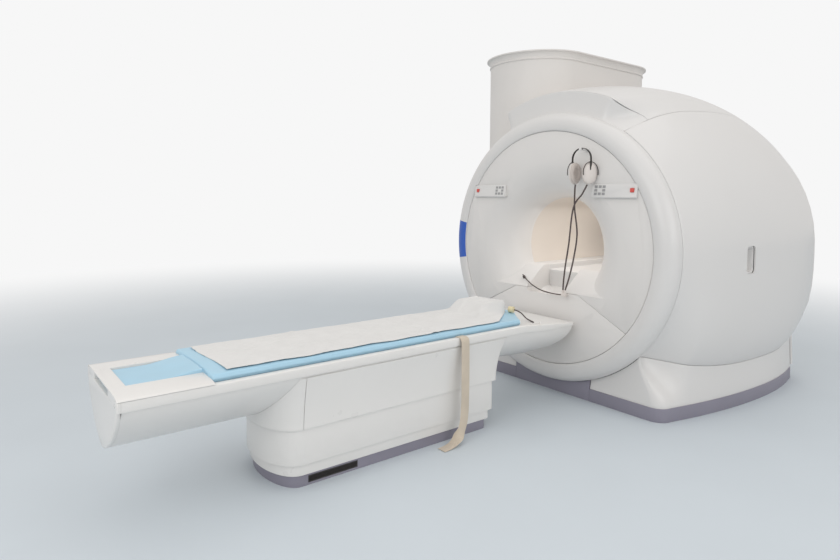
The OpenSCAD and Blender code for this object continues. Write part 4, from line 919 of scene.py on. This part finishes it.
def headBand():
    h = headset
    path = [(h["x"], y, z) for y, z in arc(h["y"], h["bandZ"], h["bandR"], 0, 180, 36)]
    legEnd = h["cupZ"] + h["legEnd"]
    legs = [[(h["x"], h["y"] + s * h["bandR"], h["bandZ"] + (legEnd - h["bandZ"]) * k / 6) for k in range(1, 7)]
            for s in (1, -1)]
    whole = legs[0][::-1] + path + legs[1]
    stations = []
    pts = [np.array(q, float) for q in whole]
    for i, c in enumerate(pts):
        t = pts[min(len(pts) - 1, i + 1)] - pts[max(0, i - 1)]
        t /= np.linalg.norm(t)
        across = np.array([1.0, 0, 0])
        stations.append((c, across, np.cross(t, across)))
    parts = [band("headBand", stations, h["bandW"], h["bandT"], "band")]
    steps = [pi * k / 24 for k in range(-2, 27)]
    for s in (-1, 1):
        yoke = [swung((h["x"] + h["half"] * cos(a), h["y"] + s * (h["bandR"] - h["yokeIn"]),
                       h["cupZ"] + h["yokeUp"] + (h["cupB"] - h["yokeShort"]) * sin(a)), s) for a in steps]
        parts.append(tube("yoke", yoke, h["yokeD"], "band", 12, (0, 1, 0)))
    return join("headsetBand", *parts)


# Layers of a cup from its shell to its rim, as (depth, share of the cup's size)
cupLayers = [(-0.0172, 0.02), (-0.0172, 0.30), (-0.0165, 0.52), (-0.0145, 0.74), (-0.0110, 0.90), (-0.0060, 0.985),
             (-0.0015, 1.0), (0.0015, 0.985), (0.0020, 0.93), (0.0035, 0.93), (0.0045, 0.965), (0.0080, 0.985),
             (0.0125, 0.955), (0.0158, 0.86), (0.0170, 0.72), (0.0160, 0.58), (0.0120, 0.50), (0.0100, 0.30),
             (0.0098, 0.02)]


def earCup(name, side):
    h = headset
    rings = []
    for y, k in cupLayers:
        ring = []
        for j in range(h["sides"]):
            a = 2 * pi * j / h["sides"]
            c, s = cos(a), sin(a)
            ring.append(swung((h["x"] + h["cupA"] * k * copysign(abs(c) ** h["square"], c),
                               h["y"] + side * h["cupY"] - side * y,
                               h["cupZ"] + h["cupB"] * k * copysign(abs(s) ** h["square"], s)), side))
        rings.append(ring)
    cup = skin(name, rings, "ear", 35)
    cup.data.materials.append(mats["pad"])
    first, last = h["sides"] * h["padFrom"], h["sides"] * (len(cupLayers) - 1)
    for face in cup.data.polygons:
        face.material_index = int(first <= face.index < last)
    return cup


finishPiece(headBand(), "magnet", "headset_band")
for side, word in ((-1, "near"), (1, "far")):
    piece = earCup(word + "EarCup", side)
    finishPiece(piece, "magnet", word + "_ear_cup")

# Bare blue label plate on the ring

labelSize = {"start": 80.5, "turn": 19.5, "low": 0.6975, "high": 0.7985, "t": 0.0007, "off": 0.0001, "steps": 40}


def ringLabel():
    s = labelSize
    face, back = [[q for q in ringProfile(-off) if s["low"] < q[0] < s["high"]] for off in (s["t"], s["off"])]
    return revolve("ringLabel", face + back[::-1], "label", s["steps"], s["start"], s["turn"])


finishPiece(ringLabel(), "magnet")
print("headset and label made")

# Soft goods: mattress, head cushion, sheet and strap

bed = {"z0": 0.5036, "z1": 0.5386, "w": 0.2276, "x0": -2.9303, "x1": -1.1504, "tongueX": -3.2355, "tongueW": 0.1246,
       "tongueZ": 0.5172, "cornerA": -1.290, "cornerB": -1.165, "cornerY": 0.070, "crown": 0.004, "edge": 0.012,
       "tongueEdge": 0.006, "tongueCrown": 0.001, "lip": 0.0085, "lipX": 0.004, "lipL": 0.032, "bead": 0.0014,
       "endLow": 0.45, "endIn": 0.7, "sidePower": 0.8, "slopeX": -3.085, "slopeL": 0.15, "slopeDrop": 0.004,
       "endL": 0.010}
crownPower = 2.4


# The mattress' section at x; s runs from 0 at an end's lowest edge to 1 where the section is full
def bedSection(x, w, z1, edge, crown, s):
    low = bed["z0"] - bed["lip"] * (1 - smoothStep((x - bed["tongueX"] - bed["lipX"]) / bed["lipL"]))
    top = bed["z0"] + (z1 - crown - bed["z0"]) * (bed["endLow"] + (1 - bed["endLow"]) * s)
    mid, h = (top + low) / 2, (top - low) / 2
    w = w - (1 - s) * edge * bed["endIn"]
    ring = []
    for k in range(19):
        a = radians(-90 + 10 * k)
        bead = bed["bead"] if 8 <= k <= 10 else 0.0
        ring.append((x, w - edge + edge * max(0.0, cos(a)) ** bed["sidePower"] + bead - bed["bead"],
                     mid + h * sin(a)))
    for k in range(1, 24):
        u = 1 - 2 * k / 24
        y = u * (w - edge)
        wave = 0.0007 * sin(x * 23 + y * 31) + 0.0005 * sin(x * 41 - y * 17 + 1.3)
        ring.append((x, y, top + s * (crown * (1 - abs(u) ** crownPower) + wave * (1 - abs(u) ** 4))))
    return ring + [(x, -y, z) for _, y, z in ring[18::-1]]


def mattress():
    b = bed

    def end(x, length, steps, *sizes):
        return [bedSection(x + length * (1 - cos(pi / 2 * k / steps)), *sizes, sin(pi / 2 * k / steps))
                for k in range(steps + 1)]
    rings = end(b["tongueX"], 0.006, 5, b["tongueW"], b["tongueZ"], b["tongueEdge"], b["tongueCrown"])
    for k in range(1, 25):
        x = b["tongueX"] + 0.008 + (b["x0"] - 0.0006 - b["tongueX"] - 0.008) * k / 24
        slope = smoothStep((x - b["slopeX"]) / b["slopeL"])
        rings.append(bedSection(x, b["tongueW"], b["tongueZ"] + (b["z1"] - b["slopeDrop"] - b["tongueZ"]) * slope,
                                b["tongueEdge"], b["tongueCrown"], 1))
    rings += end(b["x0"], b["endL"], 6, b["w"], b["z1"], b["edge"], b["crown"])
    stations = [b["x0"] + 0.012 + (b["cornerA"] - b["x0"] - 0.012) * k / 100 for k in range(1, 101)]
    stations += [b["cornerA"] + (b["cornerB"] - b["cornerA"]) * k / 24 for k in range(1, 25)]
    for x in stations:
        t = clamp01((x - b["cornerA"]) / (b["cornerB"] - b["cornerA"]))
        rings.append(bedSection(x, b["w"] + (b["cornerY"] - b["w"]) * t, b["z1"], b["edge"], b["crown"], 1))
    rings += end(b["x1"], -b["endL"], 6, b["cornerY"], b["z1"], b["edge"], b["crown"])[::-1]
    return skin("mattressPad", rings, "vinyl", 40)


pad = mattress()
finishPiece(pad, "tabletop", "mattress")

cushion = {"x0": -1.440, "x1": -1.228, "y0": -0.064, "y1": 0.164, "z": 0.5389, "h": 0.058, "rise": 0.008,
           "round": 0.014, "crown": 0.003, "endShare": 0.90, "endLow": 0.55, "lowH": 0.03, "cutShare": 0.22,
           "restOut": 0.004, "restSide": 0.012, "restX": 0.002, "restL": 0.062, "restUp": 0.0005, "restPower": 0.55}


# A closed outline with its corners cut off, three times over
def rounded(points, share, times=3):
    pts = [np.array(p, float) for p in points]
    for _ in range(times):
        out = []
        for i, p in enumerate(pts):
            q = pts[(i + 1) % len(pts)]
            out += [p * (1 - share) + q * share, p * share + q * (1 - share)]
        pts = out
    return pts


def headPad():
    c = cushion
    outline = rounded([(c["x0"], c["z"]), (c["x1"], c["z"]), (c["x1"] + 0.004, c["z"] + 0.020),
                       (c["x1"] - 0.012, c["z"] + c["h"]), (c["x0"] + 0.060, c["z"] + c["h"] - 0.005),
                       (c["x0"] + 0.006, c["z"] + 0.014)], c["cutShare"])
    centre = sum(outline) / len(outline)
    rings = []
    mid, half = (c["y0"] + c["y1"]) / 2, (c["y1"] - c["y0"]) / 2
    ends = [(-1, k) for k in range(9)] + [(0, k) for k in range(1, 24)] + [(1, k) for k in range(8, -1, -1)]
    for end, k in ends:
        s = sin(pi / 2 * k / 8) if end else 1.0
        u = end * (half - c["round"] * (1 - cos(pi / 2 * k / 8))) if end else (
            -half + c["round"] + 2 * (half - c["round"]) * k / 24)
        high = c["rise"] * (0.5 - 0.5 * u / half) + c["crown"] * (1 - (u / half) ** 2) - c["crown"]
        ring = []
        for p in outline:
            low = clamp01((p[1] - c["z"]) / c["lowH"])
            ring.append((centre[0] + (p[0] - centre[0]) * (c["endShare"] + (1 - c["endShare"]) * s), mid + u,
                         c["z"] + (p[1] - c["z"]) * (c["endLow"] + (1 - c["endLow"]) * s) + high * low))
        rings.append(ring)
    return skin("headPad", rings, "linen", 50)


piece = headPad()
finishPiece(piece, "tabletop", "head_cushion")

cloth = {"x0": -2.872, "x1": -1.222, "y0": -0.207, "y1": 0.199, "slant": 0.205, "slantY": -0.060, "step": 0.006,
         "t": 0.0012, "lift": 0.0016, "folds": 34, "seed": 11, "settle": 36, "rim": 0.02, "slack": 0.02,
         "foldTurn": 0.5, "foldL": (0.06, 0.26), "foldW": (0.006, 0.014), "foldH": (0.0010, 0.0042)}


# Height of what the sheet lies on: the crowned mattress or the cushion, whichever is higher
def supportHeight(x, y):
    u = abs(y) / (bed["w"] - bed["edge"])
    z = bed["z1"] - bed["crown"] * min(1.0, u) ** crownPower
    c = cushion
    half = (c["y1"] - c["y0"]) / 2
    off = y - (c["y0"] + c["y1"]) / 2
    side = clamp01((half + c["restOut"] - abs(off)) / c["restSide"])
    rise = clamp01((x - c["x0"] + c["restX"]) / c["restL"])
    fall = clamp01((c["x1"] + c["restX"] - x) / c["restSide"])
    high = c["h"] + c["restUp"] + c["rise"] * (0.5 - 0.5 * off / half)
    pad = c["z"] + high * sqrt(side * (2 - side)) * rise ** c["restPower"] * sqrt(fall * (2 - fall))
    return max(z, pad)


def sheetGrid():
    c = cloth
    cols = int((c["y1"] - c["y0"]) / c["step"]) + 1
    rows = int((c["x1"] - c["x0"]) / c["step"]) + 1
    wave = random.Random(c["seed"])
    folds = []
    for _ in range(c["folds"]):
        folds.append((wave.uniform(c["x0"], c["x1"]), wave.uniform(c["y0"], c["y1"]), wave.gauss(0, c["foldTurn"]),
                      wave.uniform(*c["foldL"]), wave.uniform(*c["foldW"]), wave.uniform(*c["foldH"])))
    xs = np.zeros((rows, cols))
    ys = np.zeros((rows, cols))
    for i in range(rows):
        for j in range(cols):
            u, v = i / (rows - 1), j / (cols - 1)
            slant = c["slant"] * clamp01((c["slantY"] - c["y0"] - (c["y1"] - c["y0"]) * v) / (c["slantY"] - c["y0"]))
            xs[i, j] = c["x0"] + (c["x1"] - slant - c["x0"]) * u + 0.006 * sin(v * 5.1 + 0.7) * (1 - u)
            ys[i, j] = (c["y0"] + (c["y1"] - c["y0"]) * v + 0.004 * sin(u * 19 + v * 2)
                        + 0.003 * sin(u * 43 + 1 + v * 3))
    support = np.array([[supportHeight(xs[i, j], ys[i, j]) for j in range(cols)] for i in range(rows)])
    zs = support.copy()
    for _ in range(c["settle"]):
        mean = zs.copy()
        mean[1:-1, 1:-1] = (zs[:-2, 1:-1] + zs[2:, 1:-1] + zs[1:-1, :-2] + zs[1:-1, 2:]) / 4
        mean[1:-1, 0], mean[1:-1, -1] = (zs[:-2, 0] + zs[2:, 0]) / 2, (zs[:-2, -1] + zs[2:, -1]) / 2
        zs = np.maximum(support, mean)
    ridges = np.zeros_like(zs)
    for fx, fy, turn, length, width, high in folds:
        along = (xs - fx) * cos(turn) + (ys - fy) * sin(turn)
        across = -(xs - fx) * sin(turn) + (ys - fy) * cos(turn)
        ridges += high * np.exp(-(across / width) ** 2 - (along / length) ** 2)
    rim = np.minimum.reduce([xs - xs.min(), xs.max() - xs, ys - ys.min(), ys.max() - ys])
    zs += c["lift"] * np.clip(0.35 + rim / c["rim"], 0, 1) + ridges + 0.0003 * np.sin(xs * 90 + ys * 60)
    return np.stack([xs, ys, zs], axis=2)


def sheetPiece():
    grid = sheetGrid()
    rows, cols = grid.shape[:2]
    obj = newObject("bedSheet", grid.reshape(-1, 3), gridFaces(rows, cols), "linen", 60)
    if obj.data.polygons[0].normal.z < 0:
        obj.data.flip_normals()
    wall = obj.modifiers.new("wall", "SOLIDIFY")
    wall.thickness = cloth["t"]
    wall.offset = 1
    return bake(obj, 60)


piece = sheetPiece()
finishPiece(piece, "tabletop", "sheet")

strap = {"x": -1.728, "w": 0.050, "t": 0.0024, "y": -0.2758, "top": 0.5100, "length": 0.72, "turnZ": 0.075,
         "turnL": 0.07, "hangZ": 0.47}


# The strap from the beam's channel, over its near rim and down; at the floor it turns to lie flat
def strapStations():
    s = strap
    over = [(-0.2310, 0), (-0.2450, 0), (-0.2590, 0.0005), (-0.2660, 0.0040), (-0.2735, 0.0130)]
    hang = [(0, 0, 0.475), (0.001, 0, 0.40), (0.002, 0, 0.30), (0.001, 0, 0.20), (-0.003, 0, 0.13), (-0.013, 0, 0.085),
            (-0.034, 0, 0.046), (-0.066, -0.001, 0.018), (-0.105, -0.003, 0.0058), (-0.150, -0.004, 0.0030)]
    pts = spline([(s["x"], y, s["top"] - down) for y, down in over]
                 + [(s["x"] + dx, s["y"] + dy, z) for dx, dy, z in hang], 6)
    stations = []
    along, outwards = np.array([1.0, 0.0, 0.0]), np.array([0.0, -1.0, 0.0])
    last = along
    for i, p in enumerate(pts):
        t = pts[min(len(pts) - 1, i + 1)] - pts[max(0, i - 1)]
        t /= np.linalg.norm(t)
        twist = smoothStep((s["turnZ"] - p[2]) / s["turnL"])
        side = np.cross(t, outwards) if p[2] < s["hangZ"] else along
        side = side / np.linalg.norm(side)
        if side.dot(last) < 0:
            side = -side
        last = side
        across = side * (1 - twist) + outwards * twist
        across -= t * across.dot(t)
        across /= np.linalg.norm(across)
        stations.append((p, across, np.cross(t, across)))
    return stations


piece = band("tableStrap", strapStations(), strap["w"], strap["t"], "webbing")
finishPiece(piece, "table_upper", "strap")
print("soft goods made")

# Hoses of the headset and the call bulb: the first three are given from the bore's axis, the last from the tabletop

hoseZ = 0.5071
hoseFit = 0.0006
hoseD = {"tube": 0.009, "lead": 0.007}
bulb = {"x": -1.200, "y": -0.080, "z": 0.5559, "r": 0.017, "turn": 20}
# The docking ramp's foot, run and rise, and how far up it the lead's plug sits
ramp = {"x": -0.802, "z": -0.240, "run": 0.132, "rise": 0.102, "share": 0.26}
plug = {"x": ramp["x"] + ramp["share"] * ramp["run"], "y": 0.206, "z": ramp["z"] + ramp["share"] * ramp["rise"],
        "l": 0.014, "tilt": atan2(ramp["rise"], ramp["run"])}


def plugAt(d):
    return (plug["x"] - d * sin(plug["tilt"]), plug["y"], plug["z"] + d * cos(plug["tilt"]))


def bulbAt(d, dz):
    a = radians(bulb["turn"])
    return (bulb["x"] + d * sin(a), bulb["y"] - d * cos(a), bulb["z"] + dz)


def fromAxis(points):
    return [(x, y, z + axisH) for x, y, z in points]


routes = {
    "farTube": (fromAxis([(-0.872, -0.246, 0.3734), (-0.876, -0.246, 0.335), (-0.880, -0.250, 0.240),
                          (-0.872, -0.264, 0.100), (-0.862, -0.240, -0.030), (-0.854, -0.205, -0.150),
                          (-0.848, -0.172, -0.236)]), hoseD["tube"], "far_tube"),
    "nearTube": (fromAxis([(-0.872, -0.324, 0.372), (-0.882, -0.300, 0.320), (-0.892, -0.250, 0.240),
                           (-0.868, -0.206, 0.034), (-0.858, -0.178, -0.090), (-0.851, -0.162, -0.180),
                           (-0.848, -0.156, -0.237)]), hoseD["tube"], "near_tube"),
    "headsetLead": (fromAxis([(-0.848, -0.147, -0.267), (-0.838, -0.090, -0.2705), (-0.824, -0.030, -0.271),
                              (-0.813, 0.040, -0.265), (-0.811, 0.105, -0.243), (-0.800, 0.150, -0.224),
                              (-0.793, 0.182, -0.206), plugAt(plug["l"] + 0.012), plugAt(plug["l"] + hoseFit)]),
                    hoseD["lead"], "headset_lead"),
    "callHose": ([(x, y, z + hoseZ) for x, y, z in ((-1.180, -0.222, 0), (-1.170, -0.205, 0), (-1.160, -0.180, 0),
                                                    (-1.163, -0.155, 0.009), (-1.175, -0.134, 0.032))]
                 + [bulbAt(bulb["r"] + 0.020, -0.004), bulbAt(bulb["r"] + hoseFit, 0)], hoseD["lead"], "call_hose"),
}


for name, (points, diameter, node) in routes.items():
    path = spline(points, 10)
    obj = tube(name, path, diameter, "rubber", 16, (1, 0, 0) if "Tube" in name else (0, 0, 1))
    body = bodyOf(node)
    finishPiece(obj, body, node)

# Floor and light

stageLook = {"backdrop": (0.93, 0.93, 0.93, 1), "sky": (1.0, 0.985, 0.97, 1), "skyPower": 0.76,
             "middle": (-1.2, 0.0, 0.0), "fade": (2.6, 8.0), "half": 30}


# The floor turns into the backdrop's colour away from the scanner, for the camera alone
def fadeFloor(tree):
    coords = makeNode(tree, "ShaderNodeTexCoord")
    far, both = makeNode(tree, "ShaderNodeVectorMath"), makeNode(tree, "ShaderNodeMath")
    far.operation, both.operation = "DISTANCE", "MULTIPLY"
    tree.links.new(coords.outputs["Object"], far.inputs[0])
    far.inputs[1].default_value = stageLook["middle"]
    span = makeNode(tree, "ShaderNodeMapRange", From_Min=stageLook["fade"][0], From_Max=stageLook["fade"][1],
                    Value=far.outputs["Value"])
    span.interpolation_type = "SMOOTHSTEP"
    tree.links.new(span.outputs["Result"], both.inputs[0])
    tree.links.new(makeNode(tree, "ShaderNodeLightPath").outputs["Is Camera Ray"], both.inputs[1])
    glow = makeNode(tree, "ShaderNodeEmission", Color=stageLook["backdrop"]).outputs["Emission"]
    mixInto(tree, both.outputs["Value"], tree.nodes["Principled BSDF"].outputs["BSDF"], glow,
            tree.nodes["Material Output"])


def mixInto(tree, share, first, second, out):
    mix = makeNode(tree, "ShaderNodeMixShader", Fac=share)
    tree.links.new(first, mix.inputs[1])
    tree.links.new(second, mix.inputs[2])
    tree.links.new(mix.outputs["Shader"], out.inputs["Surface"])


def makeStage():
    h = stageLook["half"]
    floor = newObject("floor", [(-h, -h, 0), (h, -h, 0), (h, h, 0), (-h, h, 0)], [(0, 1, 2, 3)], "floor")
    fadeFloor(mats["floor"].node_tree)
    world = bpy.data.worlds.new("studio")
    scene.world = world
    world.use_nodes = True
    tree = world.node_tree
    tree.nodes.clear()
    lit = makeNode(tree, "ShaderNodeBackground", Color=stageLook["sky"], Strength=stageLook["skyPower"])
    seen = makeNode(tree, "ShaderNodeBackground", Color=stageLook["backdrop"], Strength=1.0)
    mixInto(tree, makeNode(tree, "ShaderNodeLightPath").outputs["Is Camera Ray"], lit.outputs["Background"],
            seen.outputs["Background"], makeNode(tree, "ShaderNodeOutputWorld"))


# The bore lamp stands for the light inside the bore
lamps = {
    "overhead": {"spot": (-1.4, -0.6, 4.6), "aim": (-1.0, 0, 0.3), "width": 6.0, "height": 4.0, "power": 30},
    "front": {"spot": (-5.5, -1.5, 2.6), "aim": (-0.8, 0, 0.8), "width": 3.0, "height": 2.4, "power": 34},
    "near": {"spot": (-1.4, -5.0, 2.4), "aim": (-0.9, 0, 0.6), "width": 3.6, "height": 2.4, "power": 34},
    "bore": {"spot": (-0.35, 0, 1.12), "aim": (-0.35, 0, 0.6), "width": 0.9, "height": 0.25, "power": 1.7},
}


def makeLamps():
    for name, lamp in lamps.items():
        data = bpy.data.lights.new(name, "AREA")
        data.shape = "RECTANGLE"
        data.size = lamp["width"]
        data.size_y = lamp["height"]
        data.energy = lamp["power"]
        obj = bpy.data.objects.new(name, data)
        scene.collection.objects.link(obj)
        obj.visible_camera = False
        obj.location = lamp["spot"]
        obj.rotation_euler = (Vector(lamp["aim"]) - Vector(lamp["spot"])).to_track_quat("-Z", "Y").to_euler()


makeStage()
makeLamps()
scene.view_settings.view_transform = "Standard"
